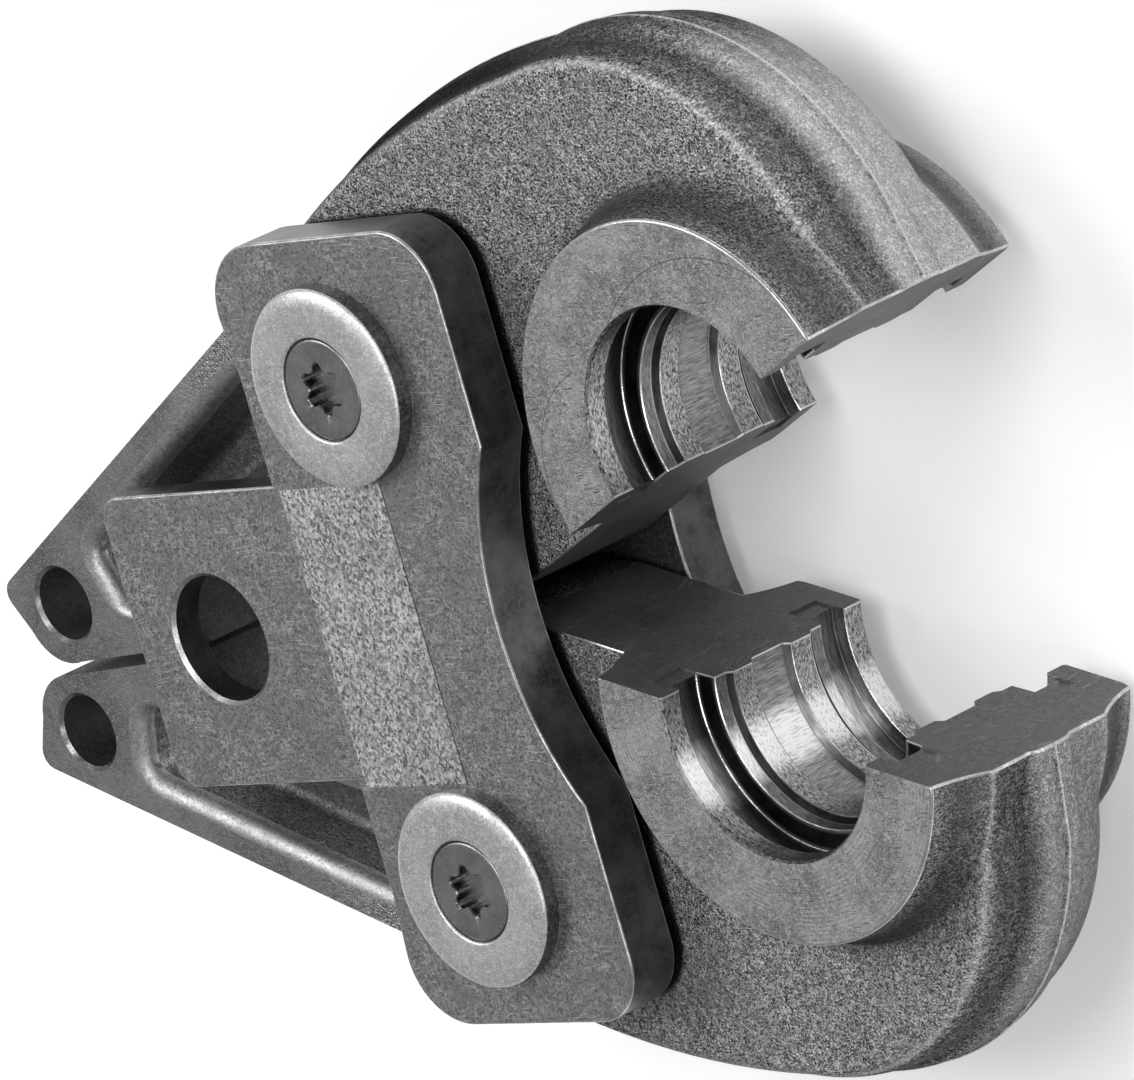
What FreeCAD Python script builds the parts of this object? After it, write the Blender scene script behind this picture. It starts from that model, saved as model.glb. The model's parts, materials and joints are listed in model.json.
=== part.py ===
import FreeCAD, Part
import os
from math import atan2, cos, radians, sin, tan

# A pair of forged jaws for pressing pipe fittings, hinged between two side plates.
# Millimetres and degrees. +X points to the mouth, +Y to the upper jaw, +Z to the front plate.
# The origin is on the axis of the tool bolt bore, half way between the two plates.

# side plates; their bar is set out from the two hinge pins
pivot_x = 33.2
pivot_y = 27.4
plate_gap = 20.4
plate_thickness = 6.4
plate_front_reach = 18.8
plate_rear_reach = 15.0
plate_side_reach = 15.5
plate_front_corner_radius = 7.0
plate_rear_corner_radius = 7.5
plate_ear_flare = 0.6
plate_ear_run = 7.0
plate_edge_chamfer = 0.35
scoop_half_height = 19.4
scoop_depth = 5.4
tongue_rear_x = -13.3
tongue_half_height = 16.3
tongue_corner_radius = 3.0
tongue_recess = 2.3
tool_bolt_bore_radius = 7.0
bore_chamfer = 0.4

# hinge pins, with their discs and screws
pin_radius = 9.0
pin_seat_clearance = 0.02
pin_running_clearance = 0.05
pin_end_recess = 0.2
pin_chamfer = 0.4
pin_countersink = 0.8
screw_thread_radius = 3.0
screw_thread_clearance = 0.05
screw_hole_depth = 14.0
screw_length = 12.0
disc_radius = 10.8
disc_height = 2.5
disc_foot_height = 1.1
disc_waist = 0.15
disc_rounding = 0.7
screw_head_radius = 5.55
screw_head_sink = 0.2
screw_head_rim = 0.35
screw_head_clearance = 0.06
screw_tip_bevel = 0.6
torx_point_radius = 3.0
torx_flute_radius = 1.2
torx_flute_circle_radius = 3.3
torx_depth = 2.3

# jaws, drawn shut, with their mating faces along y = 0
upper_opening_angle = 23.3
lower_opening_angle = 16.8
closing_gap = 0.06
jaw_side_clearance = 0.2
forging_half_thickness = 8.9
pivot_boss_radius = 12.5
contour_x = 73.3
hub_half_thickness = 15.0
hub_radius = 23.0
hub_edge = 0.3
hub_cove_foot = 2.4
hub_cove_waist = 0.7
hub_foot_overlap = 0.5
mating_rear_x = 33.6
heel_x = 28.0
heel_y = 0.75
inner_edge_angle = 20.4

# outline of the forging's shoulder, its back given by its rise above the pivot,
# and how far the flank stands out from it
arm_rear_x = -41.6
arm_rear_rise = 8.7
arm_rear_corner_radius = 1.2
arm_corner_fullness = 0.3
arm_front_x = 14.0
arm_front_rise = 13.9
neck_x = 31.0
neck_rise = 15.9
back_x = 50.0
back_rise = 16.5
crown_set_back = 7.3
crown_y = 11.5
crown_radius = 30.0
crown_start_angle = 82.0
crown_end_angle = 0.0
tip_lean = 0.6
tip_lean_back = 0.5
crown_shift_x = 0.27
crown_shift_y = -0.38
brow_growth = -0.7
brow_height = 8.3
brow_foot_growth = 0.4
shoulder_height = 7.0
shoulder_growth = 1.6
valley_height = 4.6
valley_growth = 2.9
ridge_height = 3.4
ridge_growth = 3.4
parting_height = 0.5
parting_growth = 3.7
arm_growth_share = 0.12
neck_growth_share = 0.9

# rear arm
arm_hole_x = -33.7
arm_hole_rise = 2.9
arm_hole_radius = 4.1
arm_end_radius = 7.0
arm_inner_set_back = 0.5
arm_full_height_x = 20.0
bolt_relief_clearance = 1.2
pocket_floor_half_thickness = 4.4
pocket_rear_x = -25.0
pocket_front_x = 13.5
pocket_outer_wall = 4.6
pocket_inner_wall = 4.2
pocket_end_wall = 3.2
pocket_corner_radius = 2.6
pocket_floor_corner_radius = 1.5
pocket_floor_bevel = 1.4
pocket_draft = 1.2

# pressing contour, from the mouth inwards
mouth_radius = 13.7
mouth_chamfer = 0.4
mouth_land_width = 2.5
bead_groove_radius = 16.2
bead_groove_floor_width = 3.1
bead_groove_slope_width = 1.5
rib_radius = 13.1
rib_width = 0.35
side_groove_radius = 13.6
side_groove_width = 1.1
press_land_radius = 12.4
press_land_width = 3.1
centre_band_radius = 13.3
flash_relief_depth = 0.7
flash_relief_reach = 17.8
flash_relief_length = 6.0

vector = FreeCAD.Vector
up = vector(0, 0, 1)
over = 1.0  # how far a cutter runs past the face that it cuts
plate_front_x = pivot_x + plate_front_reach
plate_rear_x = pivot_x - plate_rear_reach
plate_half_height = pivot_y + plate_side_reach
arm_rear_y = pivot_y + arm_rear_rise
arm_front_y = pivot_y + arm_front_rise
arm_hole_y = pivot_y + arm_hole_rise
neck_y = pivot_y + neck_rise
back_y = pivot_y + back_rise
crown_x = contour_x - crown_set_back
plate_inner_z = plate_gap / 2
plate_outer_z = plate_inner_z + plate_thickness
tongue_outer_z = plate_outer_z - tongue_recess
jaw_half_thickness = plate_inner_z - jaw_side_clearance
pivot = vector(pivot_x, pivot_y, 0)


def line(start, end):
    return Part.LineSegment(start, end).toShape()


def arc(start, middle, end):
    return Part.Arc(start, middle, end).toShape()


def polygon(points):
    return Part.makePolygon(points + [points[0]])


def prism(wire, bottom, top):
    face = Part.Face(wire)
    face.translate(vector(0, 0, bottom - wire.BoundBox.ZMin))
    return face.extrude(vector(0, 0, top - bottom))


def cylinder(radius, centre, bottom, top):
    return Part.makeCylinder(radius, top - bottom, vector(centre.x, centre.y, bottom), up)


def turned(points, centre):
    # a solid of revolution about the upright line through centre, from (radius, height) points
    return turned_wire(polygon([vector(radius, 0, height) for radius, height in points]), centre)


def turned_wire(wire, centre):
    solid = Part.Face(wire).revolve(vector(0, 0, 0), up, 360)
    solid.translate(vector(centre.x, centre.y, 0))
    return solid


def bore_cutter(radius, centre, bottom, top, chamfer):
    # a through hole with a chamfer at both mouths
    points = [(0, bottom - over), (radius + chamfer + over, bottom - over)]
    points += [(radius + chamfer, bottom), (radius, bottom + chamfer), (radius, top - chamfer)]
    points += [(radius + chamfer, top), (radius + chamfer + over, top + over), (0, top + over)]
    return turned(points, centre)


def rounded(solid, radius, wanted):
    edges = [edge for edge in solid.Edges if wanted(edge)]
    return solid.makeFillet(radius, edges)


def chamfered(solid, size, wanted):
    edges = [edge for edge in solid.Edges if wanted(edge)]
    return solid.makeChamfer(size, edges)


def upright(edge, x, y):
    box = edge.BoundBox
    at_place = abs(box.XMin - x) < 0.01 and abs(abs(box.YMin) - y) < 0.01
    return at_place and box.XLength < 0.01 and box.YLength < 0.01


def at_height(edge, height):
    box = edge.BoundBox
    return abs(box.ZMin - height) < 0.01 and abs(box.ZMax - height) < 0.01


def side_plate():
    # the front plate, with the tongue that the press tool's fork takes hold of
    ear_x = plate_rear_x - plate_ear_flare
    ear_low_y = plate_half_height - plate_rear_corner_radius
    waist_y = ear_low_y - plate_ear_run
    corners = [(plate_front_x, -plate_half_height), (plate_front_x, plate_half_height)]
    corners += [(ear_x, plate_half_height), (ear_x, ear_low_y), (plate_rear_x, waist_y)]
    corners += [(plate_rear_x, -waist_y), (ear_x, -ear_low_y), (ear_x, -plate_half_height)]
    outline = polygon([vector(x, y, 0) for x, y in corners])
    bar = prism(outline, plate_inner_z, plate_outer_z)
    bar = rounded(bar, plate_front_corner_radius, lambda e: upright(e, plate_front_x, plate_half_height))
    bar = rounded(bar, plate_rear_corner_radius, lambda e: upright(e, ear_x, plate_half_height))
    scoop_radius = (scoop_half_height ** 2 + scoop_depth ** 2) / (2 * scoop_depth)
    scoop_centre = vector(plate_front_x - scoop_depth + scoop_radius, 0, 0)
    bar = bar.cut(cylinder(scoop_radius, scoop_centre, plate_inner_z, plate_outer_z))
    bar = chamfered(bar, plate_edge_chamfer, lambda e: at_height(e, plate_outer_z))
    tongue_thickness = tongue_outer_z - plate_inner_z
    tongue_size = (plate_rear_x - tongue_rear_x, 2 * tongue_half_height, tongue_thickness)
    tongue_corner = vector(tongue_rear_x, -tongue_half_height, plate_inner_z)
    tongue = Part.makeBox(*tongue_size, tongue_corner)
    tongue = rounded(tongue, tongue_corner_radius,
                     lambda e: upright(e, tongue_rear_x, tongue_half_height))
    not_root = lambda e: at_height(e, tongue_outer_z) and e.BoundBox.XMin < plate_rear_x - 0.01
    tongue = chamfered(tongue, plate_edge_chamfer, not_root)
    plate = bar.fuse(tongue).removeSplitter()
    bolt_bore = bore_cutter(tool_bolt_bore_radius, vector(0, 0, 0), plate_inner_z, tongue_outer_z,
                            bore_chamfer)
    plate = plate.cut(bolt_bore)
    for side in (1, -1):
        centre = vector(pivot_x, side * pivot_y, 0)
        seat = cylinder(pin_radius + pin_seat_clearance, centre, plate_inner_z, plate_outer_z)
        plate = plate.cut(seat)
    return plate


def pivot_pin():
    # a plain turned pin with a threaded hole in each end
    end_z = plate_outer_z - pin_end_recess
    outline = [(0, -end_z), (pin_radius - pin_chamfer, -end_z), (pin_radius, -end_z + pin_chamfer)]
    outline += [(pin_radius, end_z - pin_chamfer), (pin_radius - pin_chamfer, end_z), (0, end_z)]
    pin = turned(outline, pivot)
    hole_radius = screw_thread_radius + screw_thread_clearance
    hole = [(0, end_z), (hole_radius + pin_countersink, end_z)]
    hole += [(hole_radius, end_z - pin_countersink), (hole_radius, end_z - screw_hole_depth)]
    hole += [(0, end_z - screw_hole_depth)]
    for side in (1, -1):
        pin = pin.cut(turned([(radius, side * height) for radius, height in hole], pivot))
    return pin


def pivot_disc():
    # the washer over a pin's end, countersunk for its screw
    base_z = plate_outer_z
    top_z = base_z + disc_height
    foot_z = base_z + disc_foot_height
    rim = disc_radius - disc_waist
    outline = [(0, base_z), (disc_radius, base_z), (disc_radius, foot_z)]
    outline += [(rim, foot_z + disc_waist)]
    for angle in (0, 30, 60, 90):
        radius = rim - disc_rounding * (1 - cos(radians(angle)))
        outline.append((radius, top_z - disc_rounding * (1 - sin(radians(angle)))))
    disc = turned(outline + [(0, top_z)], pivot)
    gap = screw_head_clearance
    cone_top_radius = screw_head_radius + gap
    cone_top_z = top_z - screw_head_sink - screw_head_rim
    hole_radius = screw_thread_radius + gap + screw_thread_clearance
    cone_foot_z = cone_top_z - (cone_top_radius - hole_radius)
    hole = [(0, base_z), (hole_radius, base_z), (hole_radius, max(cone_foot_z, base_z))]
    hole += [(cone_top_radius, cone_top_z), (cone_top_radius, top_z), (0, top_z)]
    if cone_foot_z < base_z:
        foot_radius = hole_radius + base_z - cone_foot_z
        hole = [(0, base_z), (foot_radius, base_z)] + hole[3:]
    return disc.cut(turned(hole, pivot))


def torx_socket(top_z):
    centre = vector(pivot_x, pivot_y, 0)
    socket = cylinder(torx_point_radius, centre, top_z - torx_depth, top_z)
    for step in range(6):
        angle = radians(60 * step)
        reach = vector(torx_flute_circle_radius * cos(angle), torx_flute_circle_radius * sin(angle), 0)
        socket = socket.cut(cylinder(torx_flute_radius, centre + reach, top_z - torx_depth, top_z))
    return socket


def disc_screw():
    # a flat-headed screw, its head a little below the disc's face
    head_z = plate_outer_z + disc_height - screw_head_sink
    cone_z = head_z - screw_head_rim
    neck_z = cone_z - (screw_head_radius - screw_thread_radius)
    end_z = head_z - screw_length
    outline = [(0, end_z), (screw_thread_radius - screw_tip_bevel, end_z)]
    outline += [(screw_thread_radius, end_z + screw_tip_bevel), (screw_thread_radius, neck_z)]
    outline += [(screw_head_radius, cone_z), (screw_head_radius, head_z), (0, head_z)]
    return turned(outline, pivot).cut(torx_socket(head_z))


def jaw_outline(height, growth):
    # the shut upper jaw's outline at one height; growth is how far its back stands out there
    def at(x, y):
        return vector(x, y, height)
    arm_growth = growth * arm_growth_share
    slope = atan2(arm_front_y - arm_rear_y, arm_front_x - arm_rear_x)
    inner_drop = sin(radians(inner_edge_angle))
    inner_run = cos(radians(inner_edge_angle))
    hole = vector(arm_hole_x, arm_hole_y, height)
    end_bottom = hole + vector(-inner_drop, -inner_run, 0) * (arm_end_radius - arm_inner_set_back)
    end_middle_angle = radians(180 + (90 - inner_edge_angle) / 2)
    end_middle = hole + vector(cos(end_middle_angle), sin(end_middle_angle), 0) * arm_end_radius
    end_side = hole + vector(-arm_end_radius, 0, 0)
    corner = at(arm_rear_x, arm_rear_y)
    corner_top = corner + vector(arm_rear_corner_radius * cos(slope), arm_rear_corner_radius * sin(slope), 0)
    corner_low = corner + (end_side - corner).normalize() * arm_rear_corner_radius
    corner_mid = (corner_top + corner_low) * arm_corner_fullness + corner * (1 - 2 * arm_corner_fullness)
    arm_front = at(arm_front_x, arm_front_y + arm_growth)
    neck = at(neck_x, neck_y + growth * neck_growth_share)
    radius = crown_radius + growth
    start_angle = radians(crown_start_angle)
    end_angle = radians(crown_end_angle)
    middle_angle = (start_angle + end_angle) / 2
    crown = at(crown_x + crown_shift_x * growth, crown_y + crown_shift_y * growth)
    crown_start = crown + vector(cos(start_angle), sin(start_angle), 0) * radius
    crown_middle = crown + vector(cos(middle_angle), sin(middle_angle), 0) * radius
    crown_end = crown + vector(cos(end_angle), sin(end_angle), 0) * radius
    back = at(back_x, back_y + growth)
    tip = at(crown_end.x + tip_lean - tip_lean_back * growth, closing_gap / 2)
    mating_rear = at(mating_rear_x, closing_gap / 2)
    edges = [arc(end_bottom, end_middle, end_side), line(end_side, corner_low)]
    edges += [arc(corner_low, corner_mid, corner_top), line(corner_top, arm_front)]
    edges += [line(arm_front, neck), arc(neck, back, crown_start)]
    edges += [arc(crown_start, crown_middle, crown_end), line(crown_end, tip)]
    heel = at(heel_x, heel_y)
    edges += [line(tip, mating_rear), line(mating_rear, heel), line(heel, end_bottom)]
    return Part.Wire(edges)


def forging():
    # the forged body: flat sides, a rounded shoulder, and a ridged back up to the parting line
    brow_slope = (brow_growth - brow_foot_growth) / (forging_half_thickness - brow_height)
    top_growth = brow_growth + brow_slope * (jaw_half_thickness - forging_half_thickness)
    levels = [(jaw_half_thickness, top_growth), (brow_height, brow_foot_growth)]
    levels += [(shoulder_height, shoulder_growth)]
    levels += [(valley_height, valley_growth), (ridge_height, ridge_growth)]
    levels += [(parting_height, parting_growth)]
    mirrored = [(-height, growth) for height, growth in reversed(levels)]
    wires = [jaw_outline(height, growth) for height, growth in levels + mirrored]
    body = Part.makeLoft(wires, True, True)
    for bottom in (forging_half_thickness, -jaw_half_thickness):
        body = body.cut(face_relief(bottom))
    return body


def face_relief(bottom):
    # in front of the arm the forging is thinner, but for the boss round the hinge pin
    depth = jaw_half_thickness - forging_half_thickness
    reach = crown_x + 2 * crown_radius
    slab = Part.makeBox(reach, reach, depth, vector(arm_full_height_x, -reach / 4, bottom))
    return slab.cut(cylinder(pivot_boss_radius, pivot, bottom, bottom + depth))


def hub():
    # the thick ring round the pressing contour, with a cove down to the forging's side
    foot_radius = hub_radius + hub_cove_foot
    foot = vector(foot_radius, 0, forging_half_thickness - hub_foot_overlap)
    middle_z = (hub_half_thickness + forging_half_thickness) / 2
    waist = vector(hub_radius + hub_cove_waist, 0, middle_z)
    brow = vector(hub_radius, 0, hub_half_thickness - hub_edge)
    rim = vector(hub_radius - hub_edge, 0, hub_half_thickness)
    def below(point):
        return vector(point.x, 0, -point.z)
    axis_top = vector(0, 0, hub_half_thickness)
    edges = [line(below(axis_top), axis_top), line(axis_top, rim), line(rim, brow)]
    edges += [arc(brow, waist, foot), line(foot, below(foot))]
    edges += [arc(below(foot), below(waist), below(brow)), line(below(brow), below(rim))]
    edges += [line(below(rim), below(axis_top))]
    ring = Part.Face(Part.Wire(edges)).revolve(vector(0, 0, 0), up, 180)
    ring.translate(vector(contour_x, closing_gap / 2, 0))
    return ring


def contour_cutter():
    # half of the profile, from the mouth to the centre band, then its mirror image
    z = hub_half_thickness
    profile = [(mouth_radius + mouth_chamfer, z), (mouth_radius, z - mouth_chamfer)]
    z -= mouth_land_width
    profile += [(mouth_radius, z), (bead_groove_radius, z)]
    z -= bead_groove_floor_width
    profile += [(bead_groove_radius, z)]
    z -= bead_groove_slope_width
    profile += [(rib_radius, z)]
    z -= rib_width
    profile += [(rib_radius, z), (side_groove_radius, z)]
    z -= side_groove_width
    profile += [(side_groove_radius, z), (press_land_radius, z)]
    z -= press_land_width
    profile += [(press_land_radius, z), (centre_band_radius, z)]
    far_side = [(radius, -height) for radius, height in reversed(profile)]
    ends = [(0, -hub_half_thickness - over), (0, hub_half_thickness + over)]
    mouth = (mouth_radius + mouth_chamfer, hub_half_thickness + over)
    far_mouth = (mouth_radius + mouth_chamfer, -hub_half_thickness - over)
    points = [mouth] + profile + far_side + [far_mouth] + ends
    return turned(points, vector(contour_x, 0, 0))


def flash_reliefs():
    # shallow notches in the mating face beside the two bead grooves
    top = hub_half_thickness - mouth_land_width
    bottom = top - bead_groove_floor_width - bead_groove_slope_width
    notches = []
    for low, high in ((bottom, top), (-top, -bottom)):
        for side in (-1, 1):
            near = contour_x + side * (flash_relief_reach - flash_relief_length)
            far = contour_x + side * flash_relief_reach
            corner = vector(min(near, far), -over, low)
            size = (flash_relief_length, over + flash_relief_depth, high - low)
            notches.append(Part.makeBox(*size, corner))
    return notches


def rounded_outline(corners, radius):
    # a closed outline of straight edges with every corner rounded
    edges = []
    previous_end = None
    first_start = None
    for index, corner in enumerate(corners):
        before = (corners[index - 1] - corner).normalize()
        after = (corners[(index + 1) % len(corners)] - corner).normalize()
        half_angle = before.getAngle(after) / 2
        inward = (before + after).normalize()
        centre = corner + inward * (radius / sin(half_angle))
        reach = radius / sin(half_angle) * cos(half_angle)
        start = corner + before * reach
        end = corner + after * reach
        if previous_end:
            edges.append(line(previous_end, start))
        edges.append(arc(start, centre - inward * radius, end))
        first_start = first_start or start
        previous_end = end
    edges.append(line(previous_end, first_start))
    return Part.Wire(edges)


def pocket(side):
    # one forged pocket in the arm; it follows the arm's edges inside walls of even width
    slope = (arm_front_y - arm_rear_y) / (arm_front_x - arm_rear_x)
    fall = tan(radians(inner_edge_angle))
    relief = vector(*open_bolt_place())

    def outline(height, shrink, corner_radius):
        def outer(x):
            y = arm_rear_y + slope * (x - arm_rear_x) - pocket_outer_wall - shrink
            return vector(x, y, height)

        def inner(x):
            return vector(x, heel_y + (heel_x - x) * fall + pocket_inner_wall + shrink, height)
        rear = pocket_rear_x + shrink
        front = pocket_front_x - shrink
        relief_y = relief.y + bolt_reach() + pocket_end_wall + shrink
        corners = [outer(rear), outer(front), vector(front, relief_y, height)]
        corners += [vector(relief.x, relief_y, height), inner(rear)]
        return rounded_outline(corners, corner_radius)
    floor_z = pocket_floor_half_thickness
    levels = [(jaw_half_thickness, 0, pocket_corner_radius)]
    levels += [(floor_z + pocket_floor_bevel, pocket_draft, pocket_corner_radius)]
    levels += [(floor_z, pocket_draft + pocket_floor_bevel, pocket_floor_corner_radius)]
    wires = [outline(side * height, shrink, radius) for height, shrink, radius in levels]
    return Part.makeLoft(wires, True, True)


def open_bolt_place():
    # where the tool bolt stands in the shut jaw's frame when the jaw is fully open
    angle = radians(-upper_opening_angle)
    x = pivot_x - pivot_x * cos(angle) + pivot_y * sin(angle)
    y = pivot_y - pivot_x * sin(angle) - pivot_y * cos(angle)
    return x, y, 0


def bolt_reach():
    return tool_bolt_bore_radius + bolt_relief_clearance


def bolt_relief():
    # the notch that lets the arm swing past the tool bolt
    open_place = vector(*open_bolt_place())
    radius = bolt_reach()
    along = vector(open_place).normalize()
    across = vector(-along.y, along.x, 0) * radius
    low = vector(0, 0, -jaw_half_thickness)
    corners = [low + across, low + across + open_place, low - across + open_place, low - across]
    channel = prism(polygon(corners), -jaw_half_thickness, jaw_half_thickness)
    return channel.fuse(cylinder(radius, open_place, -jaw_half_thickness, jaw_half_thickness))


def shut_jaw():
    # the upper jaw, shut
    jaw = forging().fuse(hub()).removeSplitter()
    jaw = jaw.cut(contour_cutter())
    for notch in flash_reliefs():
        jaw = jaw.cut(notch)
    jaw = jaw.cut(bolt_relief())
    for side in (1, -1):
        jaw = jaw.cut(pocket(side))
    pin_bore = cylinder(pin_radius + pin_running_clearance, pivot, -jaw_half_thickness,
                        jaw_half_thickness)
    jaw = jaw.cut(pin_bore)
    arm_hole = bore_cutter(arm_hole_radius, vector(arm_hole_x, arm_hole_y, 0), -jaw_half_thickness,
                           jaw_half_thickness, bore_chamfer)
    return jaw.cut(arm_hole).removeSplitter()


def opened(jaw, place, angle):
    jaw = jaw.copy()
    jaw.rotate(place, up, angle)
    return jaw


def flipped(solid, normal):
    return solid.mirror(vector(0, 0, 0), normal)


def pieces():
    front = side_plate()
    jaw = shut_jaw()
    lower_pivot = vector(pivot_x, -pivot_y, 0)
    nodes = {"front_plate": front, "rear_plate": flipped(front, up)}
    nodes["upper_jaw"] = opened(jaw, pivot, upper_opening_angle)
    nodes["lower_jaw"] = opened(flipped(jaw, vector(0, 1, 0)), lower_pivot, -lower_opening_angle)
    pin = pivot_pin()
    nodes["upper_pivot_pin"] = pin
    nodes["lower_pivot_pin"] = flipped(pin, vector(0, 1, 0))
    for name, solid in (("pivot_disc", pivot_disc()), ("disc_screw", disc_screw())):
        for level, upper in (("front", solid), ("rear", flipped(solid, up))):
            nodes["upper_%s_%s" % (level, name)] = upper
            nodes["lower_%s_%s" % (level, name)] = flipped(upper, vector(0, 1, 0))
    return nodes


os.makedirs("parts", exist_ok=True)
for node, shape in pieces().items():
    shape.Solids[0].exportStep("parts/" + node + ".step")
    print(node, len(shape.Solids), "solid, valid:", shape.isValid(), "volume:", round(shape.Volume, 1))
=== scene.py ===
import json
from math import atan2, cos, degrees, hypot, pi, radians, sin, tan

import bmesh
import bpy
from mathutils import Matrix, Vector


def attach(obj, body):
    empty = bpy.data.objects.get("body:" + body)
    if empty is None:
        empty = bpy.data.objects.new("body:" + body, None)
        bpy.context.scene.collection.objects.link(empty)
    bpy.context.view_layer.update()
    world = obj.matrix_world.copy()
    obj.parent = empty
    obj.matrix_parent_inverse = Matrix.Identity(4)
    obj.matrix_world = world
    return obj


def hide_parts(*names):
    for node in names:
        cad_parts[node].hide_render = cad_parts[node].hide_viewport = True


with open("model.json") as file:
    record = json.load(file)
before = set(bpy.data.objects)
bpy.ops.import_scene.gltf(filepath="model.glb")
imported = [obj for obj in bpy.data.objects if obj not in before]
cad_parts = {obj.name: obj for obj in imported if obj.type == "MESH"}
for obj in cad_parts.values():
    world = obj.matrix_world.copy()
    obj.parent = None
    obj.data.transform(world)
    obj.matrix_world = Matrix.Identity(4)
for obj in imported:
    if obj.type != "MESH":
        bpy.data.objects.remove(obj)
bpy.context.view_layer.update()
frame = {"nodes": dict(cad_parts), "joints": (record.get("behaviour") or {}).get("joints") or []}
print("packed model loaded")

# Lengths are millimetres while a piece is modelled; finishPiece makes them metres.
# +X points to the mouth, +Y to the upper jaw, +Z to the front plate.
mm = 0.001
hinges = {joint["name"]: joint for joint in frame["joints"]}
pivotX = hinges["upper_jaw_hinge"]["pos_m"][0] / mm
pivotY = hinges["upper_jaw_hinge"]["pos_m"][1] / mm
upperOpening = hinges["upper_jaw_hinge"]["range_deg"][1]
lowerOpening = hinges["lower_jaw_hinge"]["range_deg"][1]

# the finish of a face while its piece is cut and joined, in the order of steelLooks
paints = {"forged": 0, "hubFace": 1, "ground": 2, "contour": 3, "pocket": 4, "bore": 5, "worn": 6, "rim": 7}

flipY = Matrix.Scale(-1, 4, (0, 1, 0))
flipZ = Matrix.Scale(-1, 4, (0, 0, 1))


# Small modelling helpers

# how far a cutter reaches past the face that it cuts
past = 1.0


def arcPoints(centreX, centreY, radius, startAngle, endAngle, steps):
    points = []
    for step in range(steps + 1):
        angle = radians(startAngle + (endAngle - startAngle) * step / steps)
        points.append((centreX + radius * cos(angle), centreY + radius * sin(angle)))
    return points


def arcThrough(start, middle, end, steps):
    # the arc that passes through three points
    ax, ay = start
    bx, by = middle
    cx, cy = end
    turn = 2 * (ax * (by - cy) + bx * (cy - ay) + cx * (ay - by))
    a2 = ax * ax + ay * ay
    b2 = bx * bx + by * by
    c2 = cx * cx + cy * cy
    centreX = (a2 * (by - cy) + b2 * (cy - ay) + c2 * (ay - by)) / turn
    centreY = (a2 * (cx - bx) + b2 * (ax - cx) + c2 * (bx - ax)) / turn
    startAngle = degrees(atan2(ay - centreY, ax - centreX))
    endAngle = degrees(atan2(cy - centreY, cx - centreX))
    sweep = (endAngle - startAngle) % 360
    if turn < 0:
        sweep -= 360
    radius = hypot(ax - centreX, ay - centreY)
    return arcPoints(centreX, centreY, radius, startAngle, startAngle + sweep, steps)


def roundedPoints(corners, steps):
    # an outline with every corner rounded; a corner is x, y and its radius
    points = []
    for index, (x, y, radius) in enumerate(corners):
        here = Vector((x, y))
        before = (Vector(corners[index - 1][:2]) - here).normalized()
        after = (Vector(corners[(index + 1) % len(corners)][:2]) - here).normalized()
        halfAngle = before.angle(after) / 2
        reach = radius / tan(halfAngle)
        middle = here + (before + after).normalized() * (radius / sin(halfAngle) - radius)
        points += arcThrough(tuple(here + before * reach), tuple(middle), tuple(here + after * reach), steps)
    return points


def roundedRim(radius, top, reach, drop, steps):
    # (radius, height) points round the upper rim of a turned piece, from its side to its top
    angles = [radians(90 * step / steps) for step in range(steps + 1)]
    return [(radius - reach * (1 - cos(angle)), top - drop * (1 - sin(angle))) for angle in angles]


def mirroredDown(profile):
    # a (radius, height) profile followed by its image below the middle plane
    return profile + [(radius, -height) for radius, height in reversed(profile)]


def loftRings(bm, rings):
    # closed skin over (points, height) rings, each with the same number of points
    loops = []
    for points, height in rings:
        verts = [bm.verts.new((x, y, height)) for x, y in points]
        loops.append([bm.edges.new((verts[i - 1], verts[i])) for i in range(len(verts))])
    for first, second in zip(loops, loops[1:]):
        bmesh.ops.bridge_loops(bm, edges=first + second)
    for loop in (loops[0], loops[-1]):
        bmesh.ops.contextual_create(bm, geom=loop)


def cutPrism(bm, points, low, high):
    loftRings(bm, [(points, low), (points, high)])


def turnProfile(bm, profile, centre, steps, closed=False):
    # turns a (radius, height) profile about the upright line through centre; a closed one makes a ring
    verts = [bm.verts.new((centre[0] + radius, centre[1], height)) for radius, height in profile]
    ends = verts[1:] + verts[:1] if closed else verts[1:]
    edges = [bm.edges.new(pair) for pair in zip(verts, ends)]
    bmesh.ops.spin(bm, geom=verts + edges, cent=(centre[0], centre[1], 0), axis=(0, 0, 1),
                   angle=2 * pi, steps=steps, use_merge=True)
    bmesh.ops.remove_doubles(bm, verts=bm.verts, dist=0.0005)


def boreProfile(bm, centre, radius, half, chamfer):
    wide = radius + chamfer
    top = [(0, half + past), (wide, half + past), (wide, half), (radius, half - chamfer)]
    turnProfile(bm, mirroredDown(top), centre, turnSteps["bore"])


def box(bm, low, high):
    bmesh.ops.create_cube(bm, size=1)
    size = [b - a for a, b in zip(low, high)]
    middle = [(a + b) / 2 for a, b in zip(low, high)]
    bmesh.ops.scale(bm, vec=size, verts=bm.verts)
    bmesh.ops.translate(bm, vec=middle, verts=bm.verts)


def solid(build, *values, paint=0):
    # runs one build function in a fresh bmesh and returns a working object, which never stays in the scene
    bm = bmesh.new()
    build(bm, *values)
    bmesh.ops.recalc_face_normals(bm, faces=bm.faces)
    for face in bm.faces:
        face.material_index = paint
    mesh = bpy.data.meshes.new("work")
    bm.to_mesh(mesh)
    bm.free()
    for name in paints:
        mesh.materials.append(None)
    piece = bpy.data.objects.new("work", mesh)
    bpy.context.scene.collection.objects.link(piece)
    return piece


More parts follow.
